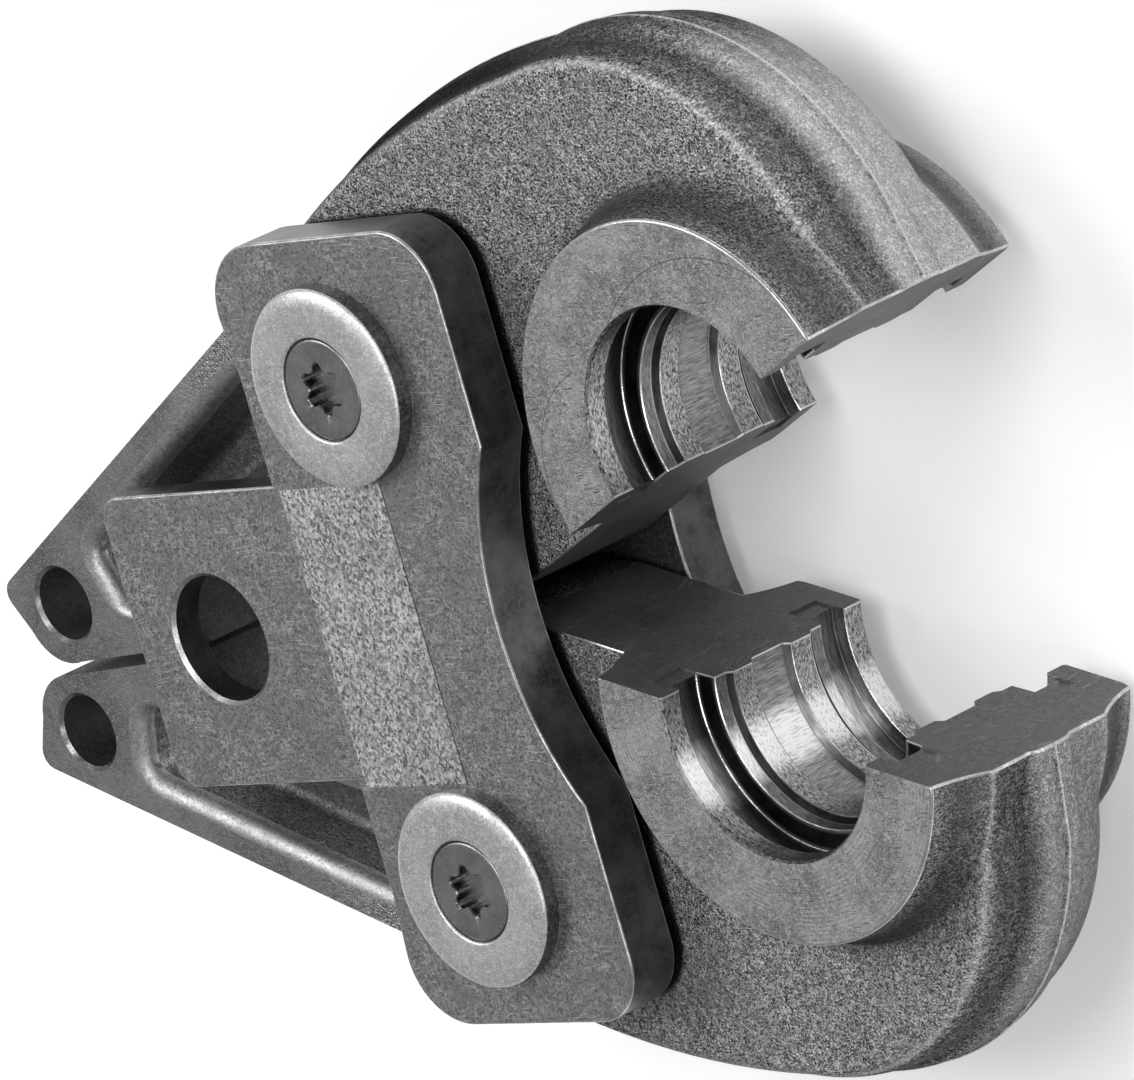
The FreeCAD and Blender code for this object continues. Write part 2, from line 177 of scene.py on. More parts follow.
def combine(target, operation, build, *values, paint=0):
    # joins one more solid to the target or cuts it away
    tool = solid(build, *values, paint=paint)
    modifier = target.modifiers.new("work", "BOOLEAN")
    modifier.operation = operation
    modifier.solver = "EXACT"
    modifier.object = tool
    bpy.context.view_layer.update()
    graph = bpy.context.evaluated_depsgraph_get()
    result = bpy.data.meshes.new_from_object(target.evaluated_get(graph))
    target.modifiers.clear()
    target.data = result
    bpy.data.objects.remove(tool)


def cut(target, build, *values, paint=0):
    combine(target, "DIFFERENCE", build, *values, paint=paint)


def bevelEdges(bm, edges, width, clamp, material=-1):
    bmesh.ops.bevel(bm, geom=edges, offset=width, offset_type="OFFSET", segments=3, profile=0.5,
                    affect="EDGES", clamp_overlap=clamp, material=material)


def takeMesh(piece):
    mesh = piece.data
    bpy.data.objects.remove(piece)
    return mesh


def placedCopy(mesh, matrix):
    copy = mesh.copy()
    copy.transform(matrix)
    if matrix.determinant() < 0:
        copy.flip_normals()
    return copy


def finishPiece(name, mesh, materials, body, nodeName, sharpAngle=34):
    mesh.transform(Matrix.Scale(mm, 4))
    mesh.name = name
    piece = bpy.data.objects.new(name, mesh)
    bpy.context.scene.collection.objects.link(piece)
    while len(mesh.materials) > len(materials):
        mesh.materials.pop()
    for index, material in enumerate(materials):
        mesh.materials[index] = material
    mesh.shade_smooth()
    mesh.set_sharp_from_angle(angle=radians(sharpAngle))
    weighted = piece.modifiers.new("even normals", "WEIGHTED_NORMAL")
    weighted.keep_sharp = True
    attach(piece, body)
    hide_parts(nodeName)


# The plates' sizes come first, since the jaws' finish is darker where the plates cover them: a painted
# shadow of the plates

plate = {
    "innerZ": 10.2, "thickness": 6.4, "frontX": 52.0, "rearX": 18.2, "halfHeight": 42.9,
    "frontCorner": 7.0, "rearCorner": 7.5, "earFlare": 0.6, "earRun": 7.0, "edge": 0.3,
    "scoopHalf": 19.4, "scoopDepth": 5.4, "tongueRearX": -13.3, "tongueHalf": 16.3, "tongueCorner": 3.0,
    "tongueRoot": 4.0, "rootCorner": 0.1, "tongueStep": 2.3, "boltRadius": 7.0, "boltChamfer": 0.4,
    "pinSeat": 9.02, "seatReach": 30.0,
}
plateTop = plate["innerZ"] + plate["thickness"]
tongueTop = plateTop - plate["tongueStep"]
scoopRadius = (plate["scoopHalf"] ** 2 + plate["scoopDepth"] ** 2) / (2 * plate["scoopDepth"])
scoopX = plate["frontX"] - plate["scoopDepth"] + scoopRadius


# Shader helpers

alongXY = (1, 1, 0)


def setSocket(tree, socket, value):
    if isinstance(value, bpy.types.NodeSocket):
        tree.links.new(value, socket)
    else:
        socket.default_value = value


def addNode(tree, kind, settings=None, **inputs):
    # an underscore in an input's name stands for a space
    node = tree.nodes.new("ShaderNode" + kind)
    for name, value in (settings or {}).items():
        setattr(node, name, value)
    for name, value in inputs.items():
        setSocket(tree, node.inputs[name.replace("_", " ")], value)
    return node


def mathNode(tree, operation, *values):
    node = addNode(tree, "Math", {"operation": operation})
    for socket, value in zip(node.inputs, values):
        setSocket(tree, socket, value)
    return node.outputs[0]


def vectorNode(tree, operation, *values):
    node = addNode(tree, "VectorMath", {"operation": operation})
    for socket, value in zip(node.inputs, values):
        setSocket(tree, socket, value)
    return node.outputs["Value" if operation in ("LENGTH", "DOT_PRODUCT") else "Vector"]


def times(tree, first, *others):
    for other in others:
        first = mathNode(tree, "MULTIPLY", first, other)
    return first


def addShare(tree, value, share, base):
    return mathNode(tree, "MULTIPLY_ADD", value, share, base)


def rangeNode(tree, value, low, high, newLow=0, newHigh=1):
    node = addNode(tree, "MapRange", Value=value, From_Min=low, From_Max=high, To_Min=newLow, To_Max=newHigh)
    return node.outputs["Result"]


def rangeMm(tree, value, low, high, newLow=0, newHigh=1):
    return rangeNode(tree, value, low * mm, high * mm, newLow, newHigh)


def within(tree, value, low, high, soft):
    # 1 where value lies between low and high millimetres, with soft borders
    rise = rangeMm(tree, value, low - soft, low + soft)
    return times(tree, rise, rangeMm(tree, value, high - soft, high + soft, 1, 0))


def mixShade(tree, factor, first, second):
    # a plain number is a grey; the Mix node's colours are its inputs 6 and 7
    node = addNode(tree, "Mix", {"data_type": "RGBA"}, Factor=factor)
    for socket, value in ((node.inputs[6], first), (node.inputs[7], second)):
        isSocket = isinstance(value, bpy.types.NodeSocket)
        setSocket(tree, socket, value if isSocket else (value, value, value, 1))
    return node.outputs[2]


def noise(tree, vector, scale, detail, roughness=0.5):
    node = addNode(tree, "TexNoise", Vector=vector, Scale=scale, Detail=detail, Roughness=roughness)
    return node.outputs["Fac"]


def flatReach(tree, vector, centreX, centreY):
    # distance from the upright line through a point given in millimetres
    shifted = vectorNode(tree, "SUBTRACT", vector, (centreX * mm, centreY * mm, 0))
    return vectorNode(tree, "LENGTH", vectorNode(tree, "MULTIPLY", shifted, alongXY))


def startGroup(name, inputs, outputs):
    # an input's value tells its kind, and a socket called Shade is a colour
    group = bpy.data.node_groups.new(name, "ShaderNodeTree")
    for direction, sockets in (("INPUT", inputs), ("OUTPUT", dict.fromkeys(outputs, 0.0))):
        for socketName, value in sockets.items():
            kind = "Float" if isinstance(value, float) else "Vector"
            kind = "NodeSocket" + ("Color" if socketName == "Shade" else kind)
            socket = group.interface.new_socket(name=socketName, in_out=direction, socket_type=kind)
            if socketName != "Shade":
                socket.default_value = value
    given = group.nodes.new("NodeGroupInput").outputs
    return group, given, group.nodes.new("NodeGroupOutput").inputs


def endGroup(group, result, **outputs):
    for name, value in outputs.items():
        group.links.new(value, result[name])
    return group


def placeGroup(tree, group, **inputs):
    return addNode(tree, "Group", {"node_tree": group}, **inputs).outputs


# Effects that several steels share; a span is where a mask rises from 0 to 1 or falls to 0

grainLook = {
    "fineRoughness": 0.7, "mottleScale": 0.3, "mottleRoughness": 0.65, "pitScale": 0.42, "granuleScale": 0.8,
    "speckSpan": (0.4, 0.62), "darkGranule": 0.35, "pitSpan": (0.12, 0.4), "pitHeight": -0.5,
    "patchDetail": 5.0, "patchRoughness": 0.6,
}
scratchLook = {
    "bendScale": 70.0, "bend": 0.0035, "lineSpan": (0.69, 0.73), "thinSpan": (0.57, 0.62), "height": -0.8,
    "directions": [{"turn": 0.5, "stretch": 22, "scale": 380, "thin": 210},
                   {"turn": -0.85, "stretch": 30, "scale": 300, "thin": 250},
                   {"turn": 1.5, "stretch": 19, "scale": 410, "thin": 180}],
}
markLook = {"detail": 2.0, "unevenScale": 160.0, "unevenDetail": 3.0, "unevenSpan": (0.4, 0.62)}


def grainGroup():
    # grain of a blasted or rolled skin: specks, pits, mottling and slow patches
    group, given, result = startGroup("steelGrain", {"Vector": (0, 0, 0), "Grain": 4000.0, "Patch": 90.0,
                                                     "Coarse": 0.5},
                                      ["Specks", "Grains", "Pits", "Patches", "Height"])
    vector, grain, coarse = given["Vector"], given["Grain"], given["Coarse"]
    fine = noise(group, vector, grain, 2.0, grainLook["fineRoughness"])
    mottle = noise(group, vector, times(group, grain, grainLook["mottleScale"]), 2.0,
                   grainLook["mottleRoughness"])
    cells, granules = (addNode(group, "TexVoronoi", Vector=vector,
                               Scale=times(group, grain, grainLook[scale])).outputs
                       for scale in ("pitScale", "granuleScale"))
    tones = addNode(group, "SeparateColor", Color=granules["Color"]).outputs
    lift = addShare(group, mottle, coarse, fine)
    level = mathNode(group, "SUBTRACT", lift, times(group, coarse, 0.5))
    specks = times(group, rangeNode(group, level, *grainLook["speckSpan"]),
                   rangeNode(group, tones["Red"], 0, 1, grainLook["darkGranule"], 1))
    pits = rangeNode(group, cells["Distance"], *grainLook["pitSpan"], 1, 0)
    patches = noise(group, vector, given["Patch"], grainLook["patchDetail"], grainLook["patchRoughness"])
    return endGroup(group, result, Specks=specks, Grains=tones["Green"], Pits=pits, Patches=patches,
                    Height=addShare(group, pits, grainLook["pitHeight"], lift))


def scratchGroup():
    # fine short scratches in three directions, slightly bent and thinned out by a slow noise
    group, given, result = startGroup("fineScratches", {"Vector": (0, 0, 0), "Density": 1.0}, ["Mask"])
    vector = given["Vector"]
    bend = addNode(group, "TexNoise", Vector=vector, Scale=scratchLook["bendScale"], Detail=0.0)
    bent = vectorNode(group, "MULTIPLY_ADD", bend.outputs["Color"], (scratchLook["bend"],) * 3, vector)
    mask = 0.0
    for way in scratchLook["directions"]:
        turned = addNode(group, "Mapping", Vector=bent, Rotation=(0, 0, way["turn"]),
                         Scale=(1, way["stretch"], 1))
        lines = noise(group, turned.outputs["Vector"], way["scale"], 0.0)
        sparse = rangeNode(group, noise(group, vector, way["thin"], 2.0), *scratchLook["thinSpan"])
        lines = times(group, rangeNode(group, lines, *scratchLook["lineSpan"]), sparse)
        mask = mathNode(group, "MAXIMUM", mask, lines)
    return endGroup(group, result, Mask=times(group, mask, given["Density"]))


def marksGroup():
    # turning marks round the upright axis through the vector's zero, uneven as a worn tool leaves them
    group, given, result = startGroup("turningMarks", {"Vector": (0, 0, 0), "Pitch": 900.0, "Waver": 0.4},
                                      ["Height"])
    rings = addNode(group, "TexWave", {"wave_type": "RINGS", "rings_direction": "Z"}, Vector=given["Vector"],
                    Scale=given["Pitch"], Distortion=given["Waver"], Detail=markLook["detail"])
    uneven = noise(group, given["Vector"], markLook["unevenScale"], markLook["unevenDetail"])
    uneven = rangeNode(group, uneven, *markLook["unevenSpan"])
    return endGroup(group, result, Height=times(group, rings.outputs["Fac"], uneven))


# places are in millimetres; flank, ridge, shoulder and parting are heights from the parting plane
skin = {
    "flank": (7.5, 8.4), "shades": (0.05, 0.6), "patchSpan": (0.42, 0.6), "patchShare": 0.4,
    "patchShade": 0.14, "bumpShare": 0.3, "toneShade": 0.025,
    "ridge": (2.7, 3.3), "ridgeShades": (0.06, 0.86),
    "tipX": (80.0, 95.0), "tipZ": (2.6, 3.9), "tipShades": (0.55, 1.0),
    # shoulder and parting: painted highlights that also stand for edge wear
    "shoulder": (8.35, 8.7), "shoulderSoft": 0.14, "shoulderShare": 0.55, "parting": (0.12, 0.2),
    "wearAndHighlightX": (36.0, 60.0), "wearAndHighlightLow": 0.5, "wearAndHighlight": 0.9,
}
arm = {
    "x": (-2.0, 16.0), "shades": (0.2, 0.56), "patchSpan": (0.38, 0.62), "patchShare": 0.7,
    "patchShade": 0.4, "heightShare": 0.16,
}
# painted shade in the cove round the hub's foot
coveShade = {"rise": (22.9, 23.6), "riseFrom": 0.3, "fall": (24.2, 26.5), "side": (8.2, 8.8), "share": 0.7,
         "shade": 0.06}
# the painted shadow that the side plates cast on the flanks under them
plateShadow = {"soft": 0.35, "side": (8.3, 8.8), "shade": 0.03}


def skinGroup():
    # the forging's skin: dark scale on the flanks, a lighter trimmed ridge, rubbed edges with painted
    # highlights, smoother arms, painted shade in the cove round the hub and a painted shadow where the side
    # plates cover it
    group, given, result = startGroup(
        "forgedSkin", {"Vector": (0, 0, 0), "Axis": (0, 0, 0), "Shade": 0.5, "Height": 0.0, "Specks": 0.5,
                       "Patches": 0.5, "Tone From": 0.05, "Tone To": 0.1, "Tone Start": 0.5, "Tone End": 0.0,
                       "Tip Share": 0.5}, ["Shade", "Height"])
    vector, specks, patches = given["Vector"], given["Specks"], given["Patches"]
    place = addNode(group, "SeparateXYZ", Vector=vector).outputs
    away = mathNode(group, "ABSOLUTE", place["Z"])
    shade, height = addScale(group, given, place, away)
    # the arms behind the pivots are smoother than the heads
    mask = rangeMm(group, place["X"], *arm["x"], 1, 0)
    armShade = mixShade(group, specks, *arm["shades"])
    armPatches = rangeNode(group, patches, *arm["patchSpan"], 0, arm["patchShare"])
    shade = mixShade(group, mask, shade, mixShade(group, armPatches, armShade, arm["patchShade"]))
    height = times(group, height, rangeNode(group, mask, 0, 1, 1, arm["heightShare"]))
    # painted shade in the cove round the hub
    shifted = vectorNode(group, "SUBTRACT", vector, given["Axis"])
    reach = vectorNode(group, "LENGTH", vectorNode(group, "MULTIPLY", shifted, alongXY))
    mask = times(group, rangeMm(group, reach, *coveShade["rise"], coveShade["riseFrom"], 1),
                 rangeMm(group, reach, *coveShade["fall"], 1, 0), rangeMm(group, away, *coveShade["side"]))
    shade = mixShade(group, times(group, mask, coveShade["share"]), shade, coveShade["shade"])
    # painted shadow: the flanks are darkened where the side plates cover them
    mask = times(group, coveredMask(group, vector), rangeMm(group, away, *plateShadow["side"]))
    return endGroup(group, result, Shade=mixShade(group, mask, shade, plateShadow["shade"]), Height=height)


def addScale(group, given, place, away):
    # scale and ridge on the flanks with painted shade along one stretch of each head, a painted highlight on
    # the tip's rear side, and painted highlights along the shoulders and parting line in front, which stand
    # for edge wear too
    specks = given["Specks"]
    flank = rangeMm(group, away, *skin["flank"], 1, 0)
    flankShade = mixShade(group, rangeMm(group, away, *skin["ridge"], 1, 0),
                          mixShade(group, specks, *skin["shades"]),
                          mixShade(group, specks, *skin["ridgeShades"]))
    patches = rangeNode(group, given["Patches"], *skin["patchSpan"], 0, skin["patchShare"])
    flankShade = mixShade(group, patches, flankShade, skin["patchShade"])
    # painted shade: each head is darkened along a stretch of its length, by a share of its own
    tone = rangeNode(group, place["X"], given["Tone From"], given["Tone To"], given["Tone Start"],
                     given["Tone End"])
    shade = mixShade(group, flank, given["Shade"], mixShade(group, tone, flankShade, skin["toneShade"]))
    # painted highlight: the tip's rear side is lightened, by a share that differs between the jaws
    tip = times(group, rangeMm(group, place["X"], *skin["tipX"], 0, given["Tip Share"]),
                rangeMm(group, place["Z"], *skin["tipZ"], 1, 0))
    shade = mixShade(group, tip, shade, mixShade(group, specks, *skin["tipShades"]))
    # painted highlights along the shoulders and the parting line, also edge wear, fading out towards the
    # rear
    shoulder = within(group, away, *skin["shoulder"], skin["shoulderSoft"])
    wearAndHighlight = mathNode(group, "MAXIMUM", times(group, shoulder, skin["shoulderShare"]),
                      rangeMm(group, away, *skin["parting"], 1, 0))
    wearAndHighlight = times(group, wearAndHighlight, rangeMm(group, place["X"], *skin["wearAndHighlightX"]),
                   rangeNode(group, specks, 0, 1, skin["wearAndHighlightLow"], 1))
    height = addShare(group, times(group, given["Height"], flank), skin["bumpShare"], given["Height"])
    return mixShade(group, wearAndHighlight, shade, skin["wearAndHighlight"]), height


def coveredMask(group, vector):
    # 1 inside the side plates' outline, which is a rounded box less the scoop in its front
    soft = plateShadow["soft"]
    corner = plate["frontCorner"]
    middle = (plate["frontX"] + plate["rearX"]) / 2
    inset = ((plate["frontX"] - middle - corner) * mm, (plate["halfHeight"] - corner) * mm, 0)
    beyond = vectorNode(group, "ABSOLUTE", vectorNode(group, "SUBTRACT", vector, (middle * mm, 0, 0)))
    beyond = vectorNode(group, "MAXIMUM", vectorNode(group, "SUBTRACT", beyond, inset), (0, 0, 0))
    rounded = vectorNode(group, "LENGTH", vectorNode(group, "MULTIPLY", beyond, alongXY))
    scoop = flatReach(group, vector, scoopX, 0)
    return times(group, rangeMm(group, rounded, corner - soft, corner + soft, 1, 0),
                 rangeMm(group, scoop, scoopRadius - soft, scoopRadius + soft))


# the contour's lands, ribs and grooves by their distance from the middle plane, from the mouth inwards
bands = [
    {"z": (12.35, 15.1), "shades": (0.06, 0.6), "scale": 3600, "drawn": (0.5, 1.6), "bump": 0.7,
     "rough": 0.3, "paintedReflection": 1.0},
    # the bead groove's floor and inner wall and the two steps are painted dark: painted shade
    {"z": (8.2, 12.25), "shades": (0.07, 0.16), "scale": 2500, "drawn": (0.2, 2.0), "bump": 0.2,
     "rough": 0.35, "paintedReflection": 0.5},
    {"z": (7.9, 8.15), "shades": (0.01, 0.03), "rough": 0.5},
    {"z": (6.5, 7.85), "shades": (0.1, 0.3), "scale": 3500, "drawn": (0.3, 2.0), "bump": 0.3,
     "rough": 0.3, "paintedReflection": 0.9},
    {"z": (5.75, 6.4), "shades": (0.03, 0.07)},
    {"z": (2.95, 5.65), "shades": (0.05, 0.6), "scale": 3800, "drawn": (0.6, 1.4), "bump": 0.7,
     "rough": 0.32, "paintedReflection": 1.0},
    {"z": (2.3, 2.9), "shades": (0.05, 0.12), "paintedReflection": 0.2},
    {"z": (-1.0, 2.25), "shades": (0.16, 0.4), "scale": 5200, "drawn": (1.0, 0.12), "bump": 0.5,
     "rough": 0.26, "paintedReflection": 1.0},
]
# the bright edges between them are painted highlights
for low, high, shades in ((12.22, 12.36, (0.6, 0.95)), (8.1, 8.2, (0.5, 0.9)), (7.82, 7.95, (0.6, 0.95)),
                          (5.6, 5.74, (0.6, 0.95)), (2.88, 3.0, (0.5, 0.9))):
    bands.append({"z": (low, high), "shades": shades, "scale": 900, "drawn": (1.0, 1.0), "bump": 0.0,
                  "rough": 0.22})
# what a band above doesn't say
plainBand = {"scale": 1500, "drawn": (0.2, 1.0), "bump": 0.1, "rough": 0.4, "paintedReflection": 0.0}
drawnLines = {"soft": 0.03, "detail": 2.0, "roughness": 0.7, "span": (0.36, 0.64)}
# painted reflections that lighten the contour bands near the given angles
paintedReflection = {"near": (0.962, 0.997), "strength": 1.5, "low": 0.4, "shade": 0.93}
matingHighlight = {"from": -0.3, "to": -0.12, "share": 0.9, "shade": 0.9}


def bandsGroup():
    # the pressing contour, with painted reflections at given angles round it and a painted highlight along
    # its edge at the mating face
    zero = (0, 0, 0)
    group, given, result = startGroup(
        "contourBands", {"Vector": zero, "Axis": zero, "Mating": zero, "First Rub": zero, "Second Rub": zero,
                         "Shade": 0.5, "Height": 0.0, "Roughness": 0.3}, ["Shade", "Height", "Roughness"])
    vector, shade, height, roughness = (given[name] for name in ("Vector", "Shade", "Height", "Roughness"))
    away = mathNode(group, "ABSOLUTE", addNode(group, "SeparateXYZ", Vector=vector).outputs["Z"])
    shifted = vectorNode(group, "SUBTRACT", vector, given["Axis"])
    outward = vectorNode(group, "NORMALIZE", vectorNode(group, "MULTIPLY", shifted, alongXY))
    wearAndHighlight = 0.0
    # painted reflections: the bands are lightened near these directions round the axis
    for name in ("First Rub", "Second Rub"):
        near = vectorNode(group, "DOT_PRODUCT", outward, given[name])
        wearAndHighlight = mathNode(group, "MAXIMUM", wearAndHighlight, rangeNode(group, near, *paintedReflection["near"], 0, paintedReflection["strength"]))
    for values in bands:
        band = {**plainBand, **values}
        mask = within(group, away, *band["z"], drawnLines["soft"])
        flat, along = band["drawn"]
        drawn = addNode(group, "Mapping", Vector=vector, Scale=(flat, flat, along))
        lines = noise(group, drawn.outputs["Vector"], band["scale"], drawnLines["detail"],
                      drawnLines["roughness"])
        streaks = rangeNode(group, lines, *drawnLines["span"])
        bandShade = mixShade(group, streaks, *band["shades"])
        share = times(group, wearAndHighlight, rangeNode(group, streaks, 0, 1, band["paintedReflection"] * paintedReflection["low"], band["paintedReflection"]))
        bandShade = mixShade(group, mathNode(group, "MINIMUM", share, 1.0), bandShade, paintedReflection["shade"])
        shade = mixShade(group, mask, shade, bandShade)
        height = addShare(group, times(group, streaks, mask), band["bump"], height)
        smoother = mathNode(group, "SUBTRACT", band["rough"], roughness)
        roughness = mathNode(group, "ADD", roughness, times(group, smoother, mask))
    # painted highlight: a thin bright strip along the contour's edge at the mating face
    edge = rangeMm(group, vectorNode(group, "DOT_PRODUCT", shifted, given["Mating"]), matingHighlight["from"],
                   matingHighlight["to"], 0, matingHighlight["share"])
    return endGroup(group, result, Shade=mixShade(group, edge, shade, matingHighlight["shade"]), Height=height,
                    Roughness=roughness)


steelGrain = grainGroup()
fineScratches = scratchGroup()
turningMarks = marksGroup()
forgedSkin = skinGroup()
contourBands = bandsGroup()


# Steel finishes: what a look leaves out comes from plainSteel, and its bump depth is in millimetres

plainSteel = {"metallic": 1.0, "edgeTint": 1.0, "grain": 4200.0, "coarse": 0.5, "patchShare": 0.5,
              "pits": 0.3, "pitShade": 0.03, "bump": 0.3, "depth": 0.03}
patchSpan = (0.36, 0.64)
scribeLine = {"half": 0.05, "soft": 0.03, "from": 0.6, "to": 0.75, "share": 0.8, "shade": 0.07}


def startMaterial(name):
    material = bpy.data.materials.new(name)
    material.use_nodes = True
    tree = material.node_tree
    tree.nodes.clear()
    shader = addNode(tree, "BsdfPrincipled")
    addNode(tree, "OutputMaterial", Surface=shader.outputs["BSDF"])
    return material, tree, shader, addNode(tree, "TexCoord").outputs["Object"]


def steelMaterial(name, look, axis=None):
    # axis is the place of the turning marks' axis, in metres
    look = {**plainSteel, **look}
    material, tree, shader, vector = startMaterial(name)
    shader.inputs["Metallic"].default_value = look["metallic"]
    shader.inputs["Specular Tint"].default_value = (look["edgeTint"],) * 3 + (1,)
    grain = placeGroup(tree, steelGrain, Vector=vector, Grain=look["grain"], Patch=look["patch"],
                       Coarse=look["coarse"])
    shade = mixShade(tree, grain["Specks"], *look["shades"])
    patches = rangeNode(tree, grain["Patches"], *patchSpan, 0, look["patchShare"])
    shade = mixShade(tree, patches, shade, look["patchShade"])
    shade = mixShade(tree, times(tree, grain["Pits"], look["pits"]), shade, look["pitShade"])
    height = grain["Height"]
    roughness = rangeNode(tree, grain["Patches"], *patchSpan, *look["rough"])
    if "scratch" in look:
        mask = placeGroup(tree, fineScratches, Vector=vector, Density=look["scratch"])["Mask"]
        shade = mixShade(tree, mask, shade, look["scratchShade"])
        height = addShare(tree, mask, scratchLook["height"], height)
    if "pitch" in look:
        moved = addNode(tree, "Mapping", Vector=vector, Location=(-axis[0], -axis[1], 0)).outputs["Vector"]
        marks = placeGroup(tree, turningMarks, Vector=moved, Pitch=look["pitch"], Waver=look["waver"])
        marks = marks["Height"]
        height = addShare(tree, marks, look["markShare"], height)
        shade = mixShade(tree, times(tree, marks, look["markTint"]), shade, look["markShade"])
    if "skin" in look:
        layer = placeGroup(tree, forgedSkin, Vector=vector, Shade=shade, Height=height,
                           Specks=grain["Specks"], Patches=grain["Patches"], **look["skin"])
        shade, height = layer["Shade"], layer["Height"]
    if "bands" in look:
        layer = placeGroup(tree, contourBands, Vector=vector, Shade=shade, Height=height,
                           Roughness=roughness, **look["bands"])
        shade, height, roughness = layer["Shade"], layer["Height"], layer["Roughness"]
    for scribe in look.get("scribes", []):
        shade = addScribe(tree, scribe, vector, shade)
    if "field" in look:
        shade, height = addField(tree, look["field"], vector, shade, height)
    tree.links.new(shade, shader.inputs["Base Color"])
    tree.links.new(roughness, shader.inputs["Roughness"])
    bump = addNode(tree, "Bump", Strength=look["bump"], Distance=look["depth"] * mm, Height=height)
    tree.links.new(bump.outputs["Normal"], shader.inputs["Normal"])
    return material


def addScribe(tree, scribe, vector, shade):
    # a thin dark arc scribed on a flat face, which fades out where it turns from the way it faces
    centreX, centreY = scribe["centre"]
    radius = scribe["radius"]
    shifted = vectorNode(tree, "SUBTRACT", vector, (centreX * mm, centreY * mm, 0))
    along = vectorNode(tree, "DOT_PRODUCT", shifted, (*scribe["facing"], 0))
    line = within(tree, flatReach(tree, vector, centreX, centreY), radius - scribeLine["half"],
                  radius + scribeLine["half"], scribeLine["soft"])
    seen = rangeMm(tree, along, radius * scribeLine["from"], radius * scribeLine["to"], 0,
                   scribeLine["share"])
    return mixShade(tree, times(tree, line, seen), shade, scribeLine["shade"])


def addField(tree, field, vector, shade, height):
    # the blasted field on the front plate, with a thin step along its front side
    place = addNode(tree, "SeparateXYZ", Vector=vector).outputs
    rear, front = field["x"]
    along = within(tree, place["Y"], -field["halfY"], field["halfY"], field["soft"])
    onTop = mathNode(tree, "GREATER_THAN", place["Z"], field["z"] * mm)
    mask = times(tree, within(tree, place["X"], rear, front, field["soft"]), along, onTop)
    grain = placeGroup(tree, steelGrain, Vector=vector, Grain=field["grain"], Patch=field["patch"],
                       Coarse=field["coarse"])
    fieldShade = mixShade(tree, grain["Grains"], *field["shades"])
    wearAndHighlight = rangeNode(tree, grain["Patches"], *field["rubbedSpan"], 0, field["rubbedShare"])
    shade = mixShade(tree, mask, shade, mixShade(tree, wearAndHighlight, fieldShade, field["wearAndHighlight"]))
    line = within(tree, place["X"], front, front + field["line"], field["lineSoft"])
    line = times(tree, line, along, onTop)
    height = addShare(tree, times(tree, grain["Height"], mask), field["bumpShare"], height)
    return mixShade(tree, line, shade, field["lineShade"]), height


# Jaws: a forging with a hub, a pressing contour and pockets in its arm, drawn shut

jaw = {
    "closingGap": 0.06, "halfThickness": 10.0, "sideZ": 8.9, "armFrontX": 20.0,
    "armRear": (-41.6, pivotY + 8.7), "armFront": (14.0, pivotY + 13.9), "armCorner": 1.9,
    "neck": (31.0, pivotY + 15.9), "back": (50.0, pivotY + 16.5),
    "crownX": 66.0, "crownY": 11.5, "crownRadius": 30.0, "crownStart": 82.0,
    "crownShiftX": 0.27, "crownShiftY": -0.38, "tipLean": 0.6, "tipLeanBack": 0.5,
    "matingRearX": 33.6, "heelX": 28.0, "heelY": 0.75, "innerAngle": 20.4,
    "armHole": (-33.7, pivotY + 2.9), "armHoleRadius": 4.1, "armEndRadius": 7.0, "armEndSetBack": 0.5,
    "boltReach": 8.2, "pinRadius": 9.05, "matingEdge": 0.26,
    # how far the flank stands out from the shoulder, at heights from the parting line up
    "flank": [(0.0, 3.68), (0.12, 3.64), (0.26, 3.42), (1.0, 3.38), (1.9, 3.3), (2.5, 3.12), (2.95, 2.78),
              (3.35, 2.36), (3.7, 2.02), (4.05, 1.86), (4.6, 1.84), (5.4, 1.82), (6.3, 1.68), (7.2, 1.44),
              (7.8, 1.2), (8.2, 0.96), (8.52, 0.62), (8.74, 0.22), (8.86, -0.2), (8.9, -0.6)],
    # how many of these levels keep their corners, and how far the last ring draws in
    "sharpLevels": 3, "lastStep": 0.6, "armGrowth": 0.12, "neckGrowth": 0.9,
    # the corner's bulge, and how far the rough forging reaches below the mating plane
    "cornerBulge": 0.3, "spare": 4.0,
    # how many steps the outline's arcs have
    "steps": {"armEnd": 10, "armCorner": 4, "back": 22, "crown": 52, "notch": 24},
    # how far the boxes that cut the jaw reach, and its holes' chamfers
    "cutReach": (140.0, 80.0, 20.0), "armHoleChamfer": 0.4, "pinChamfer": 0.2,
}
# how many steps a full turn takes
turnSteps = {"hub": 144, "bore": 64, "boltBore": 96, "disc": 128, "screw": 96}
matingY = jaw["closingGap"] / 2
# a face whose normal's part along an axis is larger than this is square to that axis
flatFace = 0.99
# edges that turn by more than this are rounded, in radians
matingTurn, plateTurn = 0.4, 0.9

hub = {
    "x": 73.3, "halfThickness": 15.0, "radius": 23.0, "edge": 0.32, "coveFoot": 2.4, "coveWaist": 0.7,
    "footSink": 0.5,
}

contour = {
    "mouthRadius": 13.9, "mouthChamfer": 0.3, "edge": 0.1, "longestEdge": 0.4,
    # radius and height of the steps from the mouth to the middle: bead groove, rib, land and centre
    "steps": [(13.9, 12.3), (15.6, 12.2), (15.6, 8.1), (13.1, 7.95), (13.1, 6.4), (12.5, 5.7), (12.5, 2.95),
              (13.3, 2.3)],
    "reliefDepth": 0.35, "reliefReach": 17.8, "reliefLength": 6.0,
}

pocket = {
    "rearX": -25.0, "frontX": 13.5, "outerWall": 4.6, "innerWall": 4.2, "endWall": 3.2,
    "floorZ": 4.4, "draft": 1.6, "corner": 2.2, "rimRadius": 2.0, "floorRadius": 1.5, "rimZ": 7.9,
    "rimTilt": 0.12, "rimRise": 0.3, "floorCorner": 0.7,
}


